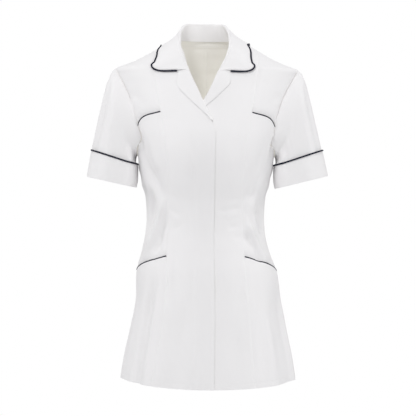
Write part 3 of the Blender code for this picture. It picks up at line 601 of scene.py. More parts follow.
def closed_ring(grid):
    """The grid with its first column once more at the end."""
    return np.concatenate((grid, grid[:, :1]), axis=1)


def corners(grid):
    """The four corners of every cell of a grid, in turn."""
    cells = np.stack((grid[:-1, :-1], grid[:-1, 1:], grid[1:, 1:], grid[1:, :-1]), 2)
    return cells.reshape(-1, 4, *grid.shape[2:])


def final_mesh(piece):
    """The mesh of a piece with its modifiers done."""
    depsgraph = bpy.context.evaluated_depsgraph_get()
    return bpy.data.meshes.new_from_object(piece.evaluated_get(depsgraph))


def settle(piece):
    """Makes the modifiers part of the mesh, and keeps the rim of the wall crisp."""
    mesh = final_mesh(piece)
    piece.modifiers.clear()
    piece.data = mesh
    mesh.set_sharp_from_angle(angle=math.radians(RIM_ANGLE))


def smooth_piece(name, points, faces, corner_uv, finish):
    """Object with a smooth mesh, a UV map in metres of cloth, and its materials."""
    mesh = bpy.data.meshes.new(name)
    mesh.from_pydata((points.reshape(-1, 3) * MM).tolist(), [], faces)
    layer = mesh.uv_layers.new(name="cloth")
    layer.data.foreach_set("uv", corner_uv.reshape(-1).astype(np.float32))
    mesh.shade_smooth()
    for material in finish:
        mesh.materials.append(material)
    return put_in_scene(name, mesh)


def facing_out(side, *lists):
    """Turns round the corners of a mirrored side's faces, so that they point outwards."""
    return [corner_list[:, ::-1] if side == "right" else corner_list for corner_list in lists]


def shell(name, points, finish, side="left", ring=False, thickness=SHELL):
    """Mesh object of one sheet of cloth, thickened by Solidify."""
    points = stand(points, side)
    closed = points
    index = np.arange(points[..., 0].size).reshape(points.shape[:2])
    if ring:
        index, closed = closed_ring(index), closed_ring(points)
    uv = np.stack((run_length(closed, 1) * MM, run_length(closed, 0) * MM), -1)
    quads, corner_uv = facing_out(side, corners(index), corners(uv))
    piece = smooth_piece(name, points, quads.tolist(), corner_uv, finish)
    wall = piece.modifiers.new("wall", "SOLIDIFY")
    wall.thickness = thickness * MM
    wall.offset = 0
    if len(finish) > 1:
        wall.material_offset = 1
    settle(piece)
    return piece


# %% [markdown]
# Shader maths reads better as Python expressions, so a small class wraps a socket and
# turns operators into Math nodes. One method adds any other node.

# %% Shader helper
class Socket:
    """A shader socket, or a plain number, that can be used in an expression."""

    def __init__(self, tree, value):
        self.tree = tree
        self.value = value

    def node(self, kind, settings=(), inputs=()):
        made = self.tree.nodes.new(kind)
        for name, setting in dict(settings).items():
            setattr(made, name, setting)
        for name, source in dict(inputs).items():
            if isinstance(source, Socket):
                source = source.value
            if isinstance(source, bpy.types.NodeSocket):
                self.tree.links.new(source, made.inputs[name])
            else:
                made.inputs[name].default_value = source
        return made

    def maths(self, operation, first, second=0.0):
        made = self.node("ShaderNodeMath", {"operation": operation}, {0: first, 1: second})
        return Socket(self.tree, made.outputs[0])

    def out(self, made, name):
        return Socket(self.tree, made.outputs[name])

    def __add__(self, other):
        return self.maths("ADD", self, other)

    def __radd__(self, other):
        return self.maths("ADD", other, self)

    def __sub__(self, other):
        return self.maths("SUBTRACT", self, other)

    def __rsub__(self, other):
        return self.maths("SUBTRACT", other, self)

    def __mul__(self, other):
        return self.maths("MULTIPLY", self, other)

    def __rmul__(self, other):
        return self.maths("MULTIPLY", other, self)


def new_finish(name):
    """An empty material with its Principled shader and a helper for its nodes."""
    material = bpy.data.materials.new(name)
    material.use_nodes = True
    shader = material.node_tree.nodes["Principled BSDF"]
    return material, shader, Socket(material.node_tree, 0.0)


# %% [markdown]
# The tunic is a firm white twill of polyester and cotton. Its diagonal rib is about
# half a millimetre wide, with thinner threads crossing it. The rib and a fine thread
# noise feed the bump, and the colour changes only a little, as pressed cloth does. The
# inside is the same cloth with painted warm shade: a touch warmer and darker, as shade
# makes it within. White cloth this thin lets light through, so the back of the neck looks
# bright from within. Tracing that light through the wall would be slow, so the inside
# gives off a faint warm light instead, a painted glow.

# %% Cloth and cord finishes
TWILL = {"pitch_mm": 0.55, "thread_mm": 0.28, "bump_mm": 0.05, "bump": 0.35}
RELIEF = {"middle": 0.5, "rib": 0.32, "thread": 0.10, "fuzz": 0.35}
TONE = {"least": 0.22, "rib": 0.12, "cloud": 0.30}
SHEEN = {"Specular IOR Level": 0.25, "Sheen Weight": 0.06, "Sheen Roughness": 0.5}
NOISE_SCALE = {"fuzz": 900.0, "cloud": 14.0, "thread": 1500.0}
WHITE = (0.858, 0.846, 0.849, 1)
WHITE_SHADE = (0.832, 0.821, 0.824, 1)
# Inside colours: painted warm shade, the warm grey that shade gives the inside of the tunic
INSIDE_WARM_PAINTED_SHADE = (0.85, 0.84, 0.81, 1)
INSIDE_WARM_PAINTED_SHADE_DARK = (0.82, 0.81, 0.78, 1)
NAVY = (0.011, 0.012, 0.030, 1)
NAVY_SHADE = (0.006, 0.006, 0.017, 1)
THREAD = (0.80, 0.80, 0.81, 1)
THROUGH_CLOTH = {"colour": (1.0, 0.965, 0.89, 1), "strength": 0.12}


def noise(s, place, scale, detail=2.0):
    """Noise at a place, from 0 to 1."""
    made = s.node("ShaderNodeTexNoise", (), {"Vector": place, "Scale": scale,
                                             "Detail": detail})
    return s.out(made, "Fac")


def twill(name, colour, shade, roughness):
    """Woven cloth on the piece's own UV map, in metres."""
    material, shader, s = new_finish(name)
    uv = s.out(s.node("ShaderNodeUVMap", {"uv_map": "cloth"}), "UV")
    parts = s.node("ShaderNodeSeparateXYZ", (), {0: uv})
    across, along_cloth = s.out(parts, "X"), s.out(parts, "Y")
    rib_turn = (across + along_cloth) * (2 * math.pi / (TWILL["pitch_mm"] * MM * math.sqrt(2)))
    rib = s.maths("SINE", rib_turn)
    thread = s.maths("SINE", (across - along_cloth) * (2 * math.pi / (TWILL["thread_mm"] * MM)))
    place = s.out(s.node("ShaderNodeTexCoord"), "Object")
    fuzz = noise(s, place, NOISE_SCALE["fuzz"])
    cloud = noise(s, place, NOISE_SCALE["cloud"], 3.0)
    height = (RELIEF["middle"] + RELIEF["rib"] * rib + RELIEF["thread"] * thread * rib
              + RELIEF["fuzz"] * fuzz)
    amount = TONE["cloud"] * cloud + TONE["rib"] * rib + TONE["least"]
    # A colour Mix takes its amount at socket 0 and its colours at 6 and 7
    tone = s.node("ShaderNodeMix", {"data_type": "RGBA"}, {0: amount, 6: colour, 7: shade})
    bump = s.node("ShaderNodeBump", (), {"Height": height, "Strength": TWILL["bump"],
                                         "Distance": TWILL["bump_mm"] * MM})
    rough = roughness - 0.05 * rib + 0.08 * cloud
    links = material.node_tree.links
    links.new(tone.outputs[2], shader.inputs["Base Color"])
    links.new(bump.outputs[0], shader.inputs["Normal"])
    links.new(rough.value, shader.inputs["Roughness"])
    for name, value in SHEEN.items():
        shader.inputs[name].default_value = value
    return material


white_out = twill("white_twill", WHITE, WHITE_SHADE, 0.84)
# The inside finish carries painted warm shade in its colour and a painted glow
white_in_painted_shade_glow = twill("white_twill_inside_painted_shade_glow", INSIDE_WARM_PAINTED_SHADE, INSIDE_WARM_PAINTED_SHADE_DARK, 0.9)
inside_shader = white_in_painted_shade_glow.node_tree.nodes["Principled BSDF"]
inside_shader.inputs["Emission Color"].default_value = THROUGH_CLOTH["colour"]
inside_shader.inputs["Emission Strength"].default_value = THROUGH_CLOTH["strength"]
navy_cord = twill("navy_piping_cloth", NAVY, NAVY_SHADE, 0.74)
thread_finish, thread_shader, thread_nodes = new_finish("white_thread")
thread_place = thread_nodes.out(thread_nodes.node("ShaderNodeTexCoord"), "Object")
thread_noise = noise(thread_nodes, thread_place, NOISE_SCALE["thread"])
thread_mix = thread_nodes.node("ShaderNodeMix", {"data_type": "RGBA"},
                               {0: thread_noise, 6: THREAD, 7: WHITE_SHADE})
thread_finish.node_tree.links.new(thread_mix.outputs[2], thread_shader.inputs["Base Color"])
thread_shader.inputs["Roughness"].default_value = 0.55
CLOTH_FINISH = (white_out, white_in_painted_shade_glow)
print("finishes:", [m.name for m in bpy.data.materials])

# %% [markdown]
# Pocket mouths are curved lines across the side panels. The panel above a mouth goes on
# behind the one below it, so the mouth is a real opening with an edge.

# %% Stations and mouths
BREAST_MOUTH = {"inner": -157, "outer": -184, "bow": 6.5}
HIP_MOUTH = {"inner": -446, "outer": -479, "bow": 1.5}
MOUTH_LEAN = 1.35
POCKET_STEP = 2.4
POCKET_STEP_START = 2
POCKET_UNDERLAP = 26
POCKET_STEP_LENGTH = 16
COLUMNS = {"centre": 30, "side": 22, "back": 44}
ROWS = {"shoulder": 40, "armhole": 18, "waist": 50, "skirt": 56, "underlap": 8}
ROWS_BACK = {"shoulder": 22, "armhole": 44}


def body_stations(side):
    """Heights and armhole turns that neighbouring panels share along their seams."""
    waist_rows = ROWS["armhole"] + ROWS["waist"]
    bottom = float(hem(princess(side, HEM["front"])[0]))
    mouth_turn = armhole_turn(BREAST_MOUTH["outer"])
    breast = np.linspace(PRINCESS_TOP_HEIGHT, BREAST_MOUTH["inner"], ROWS["shoulder"] + 1)
    return {
        "breast": breast,
        "waist": np.linspace(BREAST_MOUTH["inner"], HIP_MOUTH["inner"], waist_rows + 1),
        "skirt": np.linspace(HIP_MOUTH["inner"], bottom, ROWS["skirt"] + 1),
        "armhole_upper": np.linspace(0, mouth_turn, ROWS["shoulder"] + 1),
        "armhole_lower": np.linspace(mouth_turn, 180, ROWS["armhole"] + 1),
        "side_waist": np.linspace(UNDERARM_HEIGHT, HIP_MOUTH["outer"], ROWS["waist"] + 1),
        "side_skirt": np.linspace(HIP_MOUTH["outer"], HEM["side"], ROWS["skirt"] + 1),
        "armhole_back": np.linspace(180, 360, ROWS_BACK["armhole"] + 1),
    }


def side_seam(heights):
    """Side seam, which runs down the body at its widest."""
    return np.stack((np.full(len(heights), 90.0), heights), -1)


def mouth(inner, outer, bow, count):
    """Pocket mouth between two places, bowed up towards its outer end."""
    t = np.linspace(0, 1, count + 1)[:, None]
    line = inner + (outer - inner) * t
    line[:, 1] += bow * np.sin(np.pi * t[:, 0]**MOUTH_LEAN)
    return line


def mouths(side):
    """The breast and hip pocket mouths of one side."""
    breast = mouth(princess(side, BREAST_MOUTH["inner"]),
                   armhole(armhole_turn(BREAST_MOUTH["outer"])),
                   BREAST_MOUTH["bow"], COLUMNS["side"])
    hip = mouth(princess(side, HIP_MOUTH["inner"]), np.array([90.0, HIP_MOUTH["outer"]]),
                HIP_MOUTH["bow"], COLUMNS["side"])
    return breast, hip


def hem_line(angle_1, angle_2, count):
    """Places along the hem, from one angle to another."""
    angles = np.linspace(angle_1, angle_2, count + 1)
    return np.stack((angles, hem(angles)), -1)


# %% [markdown]
# The panels: two centre fronts, three side front pieces a side, and two backs. They
# could be cut flat and draped by simulation, but the photograph shows one fixed state,
# so each panel is drawn straight onto the form, between its seams.

# %% Panels
def centre_front(side):
    """Front panel from the opening to the princess seam, shoulder to hem."""
    stations = body_stations(side)
    heights = np.concatenate((stations["breast"], stations["waist"][1:],
                              stations["skirt"][1:]))
    outer = princess(side, heights)
    outer[0] = (SHOULDER_SEAM_ANGLE, PRINCESS_TOP_HEIGHT)
    first_level = int(np.argmax(heights < BREAK_END_HEIGHT))
    inner_heights = heights.copy()
    inner_heights[:first_level + 1] = opening_heights(side, first_level)
    inner_heights[first_level] = BREAK_END_HEIGHT
    inner_heights[-1] = float(hem(0.0))
    inner = opening(side, inner_heights)
    bottom = hem_line(inner[-1, 0], outer[-1, 0], COLUMNS["centre"])
    bottom[0, 1] = inner_heights[-1]
    top = shoulder_seam(NECK_POINT_HEIGHT, PRINCESS_TOP_HEIGHT, COLUMNS["centre"])
    places = coons(bottom, top, inner[::-1], outer[::-1])
    points = pressed_seams(cloth(side, places[..., 0], places[..., 1]), "tr")
    return turned_under(points)


def side_panels(side):
    """Side front in its three pieces, parted at the pocket mouths."""
    stations = body_stations(side)
    breast, hip = mouths(side)
    inner = princess(side, stations["breast"])
    inner[0] = (SHOULDER_SEAM_ANGLE, PRINCESS_TOP_HEIGHT)
    upper_outer = armhole(stations["armhole_upper"])
    top = shoulder_seam(PRINCESS_TOP_HEIGHT, upper_outer[0, 1], COLUMNS["side"])
    upper = coons(breast, top, inner[::-1], upper_outer[::-1])

    waist_inner = princess(side, stations["waist"])
    waist_outer = np.concatenate((armhole(stations["armhole_lower"]),
                                  side_seam(stations["side_waist"][1:])))
    middle = coons(hip, breast, waist_inner[::-1], waist_outer[::-1])

    skirt_inner = princess(side, stations["skirt"])
    skirt_outer = side_seam(stations["side_skirt"])
    bottom = hem_line(skirt_inner[-1, 0], 90, COLUMNS["side"])
    lower = coons(bottom, hip, skirt_inner[::-1], skirt_outer[::-1])
    return upper, middle, lower


def with_underlap(side, places, mouth_row):
    """Panel that goes on behind the one below it, sunk by a layer at the mouth."""
    drop = np.linspace(POCKET_UNDERLAP, 0, ROWS["underlap"] + 1)[:-1, None]
    behind = np.repeat(mouth_row[None], ROWS["underlap"], 0)
    behind[..., 1] -= drop
    behind[:, 0, 0] = princess(side, behind[:, 0, 1])[:, 0]
    rows = np.concatenate((behind, mouth_row[None], places[1:]))
    above = rows[..., 1] - mouth_row[None, :, 1]
    lift = -POCKET_STEP * (1 - ease(above, POCKET_STEP_START, POCKET_STEP_LENGTH))
    return cloth(side, rows[..., 0], rows[..., 1], lift)


def back_panel(side):
    """Back from the centre seam to the shoulder seam, armhole and side seam."""
    stations = body_stations(side)
    rows = ROWS_BACK
    outer = np.concatenate((shoulder_seam(NECK_POINT_HEIGHT, ARMHOLE_TOP, rows["shoulder"]),
                            armhole(stations["armhole_back"][::-1])[1:],
                            side_seam(stations["side_waist"])[1:],
                            side_seam(stations["side_skirt"])[1:]))
    heights = np.concatenate((
        np.linspace(BACK_NECK_HEIGHT, BACK_TIP_LEVEL, rows["shoulder"] + 1),
        np.linspace(BACK_TIP_LEVEL, UNDERARM_HEIGHT, rows["armhole"] + 1)[1:],
        stations["side_waist"][1:],
        np.linspace(HIP_MOUTH["outer"], HEM["back"], ROWS["skirt"] + 1)[1:]))
    centre = np.stack((np.full(len(outer), 180.0), heights), -1)
    top = np.linspace(outer[0], centre[0], COLUMNS["back"] + 1)
    bottom = hem_line(90, 180, COLUMNS["back"])
    places = coons(bottom, top, outer[::-1], centre[::-1])
    points = pressed_seams(cloth(side, places[..., 0], places[..., 1]), "lr")
    return turned_under(points)


made = {}
for side in SIDES:
    upper, middle, lower = side_panels(side)
    breast_line, hip_line = mouths(side)
    lower_points = cloth(side, lower[..., 0], lower[..., 1])
    grids = {
        "front_centre": centre_front(side),
        "side_front_upper": pressed_seams(with_underlap(side, upper, breast_line), "tlr"),
        "side_front_middle": pressed_seams(with_underlap(side, middle, hip_line), "lr"),
        "side_front_lower": turned_under(pressed_seams(lower_points, "lr")),
        "back": back_panel(side),
    }
    for name, grid in grids.items():
        made[f"{name}_{side}"] = shell(f"cloth_{name}_{side}", grid, CLOTH_FINISH, side)
print("panels:", len(made), "with", sum(len(o.data.polygons) for o in made.values()), "quads")

# %% [markdown]
# A sleeve is a tube from the armhole to its hem. Its rings start on the armhole itself
# and turn into ovals. Long soft folds run down it, and the lower edge is covered by a
# separate cuff band, which is turned under at the bottom.

# %% Sleeves and cuffs
SLEEVE_COLUMNS = ("outer_x", "outer_z", "inner_x", "inner_z", "front", "back")
SLEEVE_SECTIONS = (
    (187, -60, 141, -243, -50, 38),
    (195.5, -69, 143, -244.5, -51, 40),
    (202, -82.5, 144, -246, -52, 42),
    (207.5, -104.5, 144.5, -248, -52, 44),
    (216.5, -145, 144.8, -251, -51, 45),
    (225.5, -187, 145, -255, -50, 46),
    (234.5, -231, 145, -261.5, -49, 46),
    (239.5, -256.5, 145.3, -284.5, -48.5, 46),
    (244, -282.5, 146, -306.5, -48, 46),
)
ARMHOLE_FADE = 3.2
UNDERARM_CLEARANCE = 1.7
CUFF_TOP_SECTION = 6.0
SLEEVE_END_SECTION = 6.5
SLEEVE_STRETCH = {"right": 1.0, "left": 1.07}
SLEEVE_DROP = {"right": 3.0, "left": -3.0}
SLEEVE_INNER_X = 142
SLEEVE_SET = 0.25
SLEEVE_ROUNDNESS = 0.9
SLEEVE_ROWS = {"cap": 26, "arm": 36, "cuff": 26}
UNDERARM_SPREAD = (75, 20)
SLEEVE_DROP_REACH = 100
CAP_EASE = {"ripples": 38, "reach": 9, "share": 1.4}
CUFF_TOP_ROLL = {"reach": 1.6, "depth": 0.5}
LAYER_STEP = 1.6
# Folds down the sleeve: turn round it and section where each starts and ends
SLEEVE_FOLD_COLUMNS = ("side", "turn_1", "section_1", "turn_2", "section_2", "width", "rise")
SLEEVE_FOLDS = (
    ("right", 28, 1.0, 34, 7.0, 9, -3.2),
    ("right", 10, 1.5, 12, 7.0, 9, 2.2),
    ("right", 62, 2.2, 80, 6.4, 13, 2.0),
    ("right", 128, 2.4, 108, 6.2, 12, -3.2),
    ("right", 150, 3.0, 132, 5.8, 10, 1.8),
    ("left", 30, 1.2, 32, 7.0, 9, -2.6),
    ("left", 52, 1.6, 60, 6.8, 10, 2.0),
    ("left", 84, 2.4, 90, 6.2, 12, -2.0),
    ("left", 132, 2.4, 112, 6.0, 11, -3.0),
    ("both", 300, 1.4, 292, 6.6, 13, -2.6),
    ("both", 268, 2.0, 262, 6.0, 13, 2.2),
    ("both", 230, 2.6, 246, 6.2, 11, -2.6),
    ("both", 176, 5.0, 178, 7.9, 30, 3.0),
)
CUFF_FOLDS = (
    ("both", 40, 6.0, 46, 8.4, 12, -1.5),
    ("both", 84, 6.0, 78, 8.4, 14, 1.2),
    ("both", 112, 6.0, 108, 8.4, 10, -1.4),
    ("both", 205, 6.0, 215, 8.4, 14, 1.3),
    ("both", 290, 6.0, 282, 8.4, 14, -1.4),
    ("both", 176, 5.0, 178, 7.9, 30, 3.0),
)
SLEEVE_FOLD_SWAY = {"turn": 3, "waves": 4}
SLEEVE_FOLD_FADE_IN = (-0.1, 0.35)
SLEEVE_FOLD_FADE_OUT = (0.8, 1.15)
SLEEVE_FOLD_FLANKS = {"steep": 0.8, "gentle": 1.25}
INNER_SQUARENESS = 0.4
INNER_SQUARE_FADE = (2.5, 6.5)


def sleeve_ring(section, turn):
    """Point of the sleeve's plain oval at a section number and a turn."""
    rows = np.arange(len(SLEEVE_SECTIONS))
    table = np.array(SLEEVE_SECTIONS, float)
    value = {name: smooth(rows, table[:, i], section) for i, name in enumerate(SLEEVE_COLUMNS)}
    cos, sin = np.cos(np.radians(turn)), np.sin(np.radians(turn))
    squarer = np.where(cos < 0, INNER_SQUARENESS * ease(section, *INNER_SQUARE_FADE), 0)
    cos = np.sign(cos) * np.abs(cos)**(1 - squarer)
    x = (value["outer_x"] + value["inner_x"]) / 2
    x = x + (value["outer_x"] - value["inner_x"]) / 2 * cos
    z = (value["outer_z"] + value["inner_z"]) / 2
    z = z + (value["outer_z"] - value["inner_z"]) / 2 * cos
    reach = np.abs(sin)**(SLEEVE_ROUNDNESS - squarer)
    y = np.where(sin > 0, value["front"] * reach, value["back"] * reach)
    return np.stack(np.broadcast_arrays(x, y, z), -1)


def sleeve_point(side, section, turn):
    """Point of the sleeve at a section number and a turn as on the armhole."""
    section, turn = np.asarray(section, float), np.asarray(turn, float)
    place = armhole(turn)
    clearance = UNDERARM_CLEARANCE * ease(np.abs(turn - 180), *UNDERARM_SPREAD)
    start = cloth(side, place[..., 0], place[..., 1], clearance)
    keep = 1 - ease(section, 0, ARMHOLE_FADE)
    point = sleeve_ring(section, turn) + keep[..., None] * (
        start - sleeve_ring(0 * section, turn))
    stretch = 1 + (SLEEVE_STRETCH[side] - 1) * section / (len(SLEEVE_SECTIONS) - 1)
    out = point[..., 0] - SLEEVE_INNER_X
    point[..., 0] = SLEEVE_INNER_X + out * np.where(out > 0, stretch, 1)
    outer = np.clip(out / SLEEVE_DROP_REACH, 0, 1)
    point[..., 2] -= SLEEVE_DROP[side] * outer * section / (len(SLEEVE_SECTIONS) - 1)
    return point


def sleeve_folds(side, section, turn, folds):
    """How far the folds lift a sleeve or cuff at a section and turn."""
    rise = np.zeros(np.broadcast(section, turn).shape)
    for number, fold in rows_for(side, folds, SLEEVE_FOLD_COLUMNS):
        t = (section - fold["section_1"]) / (fold["section_2"] - fold["section_1"])
        centre = fold["turn_1"] + (fold["turn_2"] - fold["turn_1"]) * t
        centre = centre + SLEEVE_FOLD_SWAY["turn"] * np.sin(SLEEVE_FOLD_SWAY["waves"] * t + number)
        away = (turn - centre + 180) % 360 - 180
        fade = ease(t, *SLEEVE_FOLD_FADE_IN) * (1 - ease(t, *SLEEVE_FOLD_FADE_OUT))
        width = fold["width"] * np.where(
            away > 0, SLEEVE_FOLD_FLANKS["steep"], SLEEVE_FOLD_FLANKS["gentle"])
        rise = rise + fold["rise"] * fade * np.exp(-(away / width)**2)
    return rise


def sleeve_turns(side):
    """Turns round the armhole that the sleeve shares with the panels."""
    stations = body_stations(side)
    turns = np.concatenate((stations["armhole_upper"], stations["armhole_lower"][1:],
                            stations["armhole_back"][1:-1]))
    return turns % 360


def sleeve_grid(side, sections, folds, lift=0.0):
    """Grid of rings, with folds and a lift along its own normals."""
    section = np.asarray(sections, float)[:, None]
    turn = sleeve_turns(side)[None, :]
    points = sleeve_point(side, section, turn)
    rise = sleeve_folds(side, section, turn, folds) + lift
    return points + grid_normals(points, ring=True) * rise[..., None]


def sleeve_cloth(side):
    """Grid of a sleeve, with the slight ripples of its cap where it is set in."""
    cap = np.linspace(0, ARMHOLE_FADE, SLEEVE_ROWS["cap"])
    arm = np.linspace(ARMHOLE_FADE, SLEEVE_END_SECTION, SLEEVE_ROWS["arm"])
    tube = sleeve_grid(side, np.concatenate((cap, arm[1:])), SLEEVE_FOLDS)
    tube[0] += unit(tube[1] - tube[0]) * SLEEVE_SET
    length = run_length(tube, 0)
    dip = SEAM_DIP["depth"] * np.exp(-(length / SEAM_DIP["width"])**2)
    ripple = np.sin(np.radians(sleeve_turns(side)) * CAP_EASE["ripples"])
    ripple = ripple * np.exp(-(length / CAP_EASE["reach"])**2)
    rise = PUCKER["rise"] * CAP_EASE["share"] * ripple - dip
    return tube + grid_normals(tube, ring=True) * rise[..., None]


def cuff_cloth(side):
    """Grid of a cuff band, laid over the sleeve and turned under at its lower edge."""
    last = len(SLEEVE_SECTIONS) - 1
    sections = np.linspace(CUFF_TOP_SECTION, last, SLEEVE_ROWS["cuff"])
    cuff = sleeve_grid(side, sections, CUFF_FOLDS, LAYER_STEP)
    normals = grid_normals(cuff, ring=True)
    roll = np.exp(-(run_length(cuff, 0) / CUFF_TOP_ROLL["reach"])**2) * CUFF_TOP_ROLL["depth"]
    cuff = cuff - normals * roll[..., None]
    up = unit(cuff[-2] - cuff[-1])
    rows = [cuff[-1] + up * rise + normals[-1] * lift for rise, lift in HEM_STEPS[:-1]]
    return np.concatenate((cuff, np.array(rows)))


for side in SIDES:
    for name, grid in (("sleeve", sleeve_cloth(side)), ("cuff", cuff_cloth(side))):
        made[f"{name}_{side}"] = shell(f"cloth_{name}_{side}", grid, CLOTH_FINISH, side, ring=True)
print("sleeve quads:", len(made["sleeve_left"].data.polygons))

# %% [markdown]
# The collar is one folded wall: a stand inside the neck, a roll, and a fall that lies
# on the shoulders. It could be folded by cloth simulation, but its line is what makes
# the tunic's neck, so each section is listed one by one: where the stand meets the neck
# seam, where the fold lies, and where the outer edge comes to rest on the shoulder. The
# revers are the turned-back tops of the two fronts, from the roll line to their free edge.

# %% Collar and revers
# From the centre back to the gorge, where the collar meets the revers
COLLAR_COLUMNS = ("neck_angle", "neck_height", "roll_x", "roll_y", "roll_z",
                  "edge_angle", "edge_height", "roll_radius", "roll_turn", "fall_bulge")
COLLAR_SECTIONS = (
    (180, 4, 0, 60, 36.5, 180, -9, 2.6, 180, 4),
    (152, 4, 26, 55.5, 36, 152, -10, 2.6, 180, 3),
    (127, 3.5, 41, 42, 34.5, 127, -13, 2.6, 180, 0),
    (107, 3, 49, 21, 28.5, 107, -14.5, 2.6, 180, -2.5),
    (89, 2.5, 52.5, 0, 18.5, 89, -14, 2.6, 180, -3.5),
    (66, 0, 54, -15, 12, 70, -17.5, 2.5, 180, -2.5),
    (47, -6, 54.2, -29, 3, 57, -24.5, 2.4, 175, 0),
    (26.9, -25, 52.5, -58.5, -19, 45, -39, 2.2, 160, 3),
    (18.3, -42, 46.2, -71.5, -40, 37.4, -54, 1.9, 135, 4),
    (14.8, -50.5, 42.3, -75.5, -49.5, 35, -62, 1.8, 120, 4),
    (12.4, -58, 38.6, -79, -57.5, 31.6, -69, 1.8, 105, 4),
    (10.9, -66, 35.2, -82.2, -65.5, 26, -71.6, 1.8, 95, 4),
    (9.9, -72.2, 32.5, -85.2, -71.9, 17.2, -71.6, 1.8, 90, 4),
)
# The neck sits a little towards the wearer's right: what each side adds to its rows
COLLAR_LEAN_COLUMNS = ("neck_angle", "roll_x", "roll_y", "edge_angle", "edge_height",
                       "fall_bulge")
COLLAR_LEAN = {
    "right": (
        (0, 0, 0, 0, 0, 0),
        (0, 0, 0, 0, 0, 0),
        (0, 0, 0, 0, 0, 0),
        (0, 0.5, 0, 0, 0, 0),
        (0, 1, 0, 0.5, 0, 0),
        (0, 1.6, 0, 1, 0, 0.5),
        (0.4, 2, 0.2, 4.8, -0.5, 0.5),
        (0.9, 3.2, 0.4, 2.6, 0, 0),
        (1.0, 3.4, 0.4, 0.5, 0, 0),
        (1.1, 3.6, 0.35, 0.3, 0, 0),
        (1.2, 3.8, 0.35, 0.3, 0, 0),
        (1.2, 3.8, 0.35, 0.6, 0, 0),
        (1.2, 3.8, 0.35, 1, 0, 0),
    ),
    "left": (
        (0, 0, 0, 0, 0, 0),
        (0, -6, 0, 0, 0.8, 0),
        (0, -8.5, 0, -0.5, 1.8, 0.4),
        (0, -9.5, 0, -1.5, 3, 1.2),
        (0, -9.5, 0, -3, 4, 2.4),
        (0, -9, -0.5, -6.8, 4, 2.4),
        (0, -7.5, -0.8, -2.9, 2.5, 1.2),
        (-0.9, -6, -0.9, -4.6, 0, 0),
        (-1.3, -5.5, -0.7, -5.4, 0, 0),
        (-1.6, -5.7, -0.6, -5.1, 0, 0),
        (-1.8, -6, -0.6, -4.7, 0, 0),
        (-2, -6.2, -0.6, -4, 0, 0),
        (-2, -6.3, -0.6, -2.6, 0, 0),
    ),
}
ROLL_STEPS = 10
FALL_STEPS = 14
STAND_STEPS = 10
COLLAR_EDGE_LIFT = 2.3
STAND_TUCK = {"inside": 1.9, "past_edge": 1.7, "down": 3.0}
STAND_TUCK_FADE = (15, 50)
STATIONS_PER_SECTION = 10
PIPING_RADIUS = {"collar": 1.6, "cuff": 1.65, "pocket": 1.2}
# In front, the cord stops here, where the revers begins
COLLAR_PIPING_ENDS = {"right": -56.8, "left": 46.4}
COLLAR_WAVE = {"rise": 0.5, "waves": 19, "lag": 2}
FULL_BULGE_LENGTH = 45
OUTWARD_DROP = -30
# Thickness of the solids' cloth, and the gap kept between two solids
CLOTH = 1.2
CAD_GAP = 0.3


def collar_half(side):
    """Grid of half of the folded collar and its cord, from the centre back to the gorge."""
    rows = along(COLLAR_SECTIONS, STATIONS_PER_SECTION)
    value = dict(zip(COLLAR_COLUMNS, rows.T))
    lean = along(COLLAR_LEAN[side], STATIONS_PER_SECTION)
    for name, shift in zip(COLLAR_LEAN_COLUMNS, lean.T):
        value[name] = value[name] + shift
    neck = form(value["neck_angle"], value["neck_height"])
    neck_normal = form_normal(value["neck_angle"], value["neck_height"])
    axis = np.stack((value["roll_x"], value["roll_y"], value["roll_z"]), -1)
    edge = form(value["edge_angle"], value["edge_height"])
    edge_normal = form_normal(value["edge_angle"], value["edge_height"])
    radius = value["roll_radius"][:, None]
    outward = edge - axis
    outward[:, 2] = 0
    outward = unit(outward)
    ahead = np.gradient(axis, axis=0)
    ahead[0] = (1, 0, 0)
    up = unit(np.cross(outward, ahead))
    up = up * np.sign(np.sum(up * (axis - neck + neck_normal), -1, keepdims=True))
    past_edge = unit(np.cross(np.gradient(neck, axis=0), neck_normal))
    past_edge = past_edge * np.sign(np.sum(past_edge * (axis - edge), -1, keepdims=True))
    down = STAND_TUCK["down"] * (1 - ease(-value["neck_height"], *STAND_TUCK_FADE))
    start = neck - neck_normal * STAND_TUCK["inside"] + past_edge * STAND_TUCK["past_edge"]
    start[:, 2] -= down
    arc = []
    for step in range(ROLL_STEPS + 1):
        turn = np.radians(value["roll_turn"] * step / ROLL_STEPS)[:, None]
        arc.append(axis + radius * (-outward * np.cos(turn) + up * np.sin(turn)))
    finish = edge + edge_normal * COLLAR_EDGE_LIFT
    chord = finish - arc[-1]
    bulge = unit(np.cross(chord, ahead))
    bulge = bulge * np.sign(np.sum(bulge * (up + outward), -1, keepdims=True))
    swell = np.minimum(1, np.linalg.norm(chord, axis=-1) / FULL_BULGE_LENGTH) * value["fall_bulge"]
    swell = swell[:, None]
    station = np.linspace(0, 1, len(rows))[:, None]
    fall = []
    for t in np.linspace(0, 1, FALL_STEPS + 1)[1:]:
        wave = (COLLAR_WAVE["rise"] * np.sin(COLLAR_WAVE["waves"] * station
                                             + COLLAR_WAVE["lag"] * t) * np.sin(np.pi * t))
        fall.append(arc[-1] + chord * t + bulge * (swell * 4 * t * (1 - t) + wave))
    stand = [start + (arc[0] - start) * t for t in np.linspace(0, 1, STAND_STEPS + 1)[:-1]]
    half = np.stack(stand + arc + fall, 1)
    along_edge = unit(np.cross(edge_normal, np.gradient(edge, axis=0)))
    away = edge - axis + np.array((0, 0, OUTWARD_DROP))
    along_edge = along_edge * np.sign(np.sum(along_edge * away, -1, keepdims=True))
    radius = PIPING_RADIUS["collar"]
    cord = edge + along_edge * (radius + 2 * CAD_GAP)
    cord = cord + edge_normal * (CLOTH / 2 + 2.5 * CAD_GAP + radius)
    return half, cord


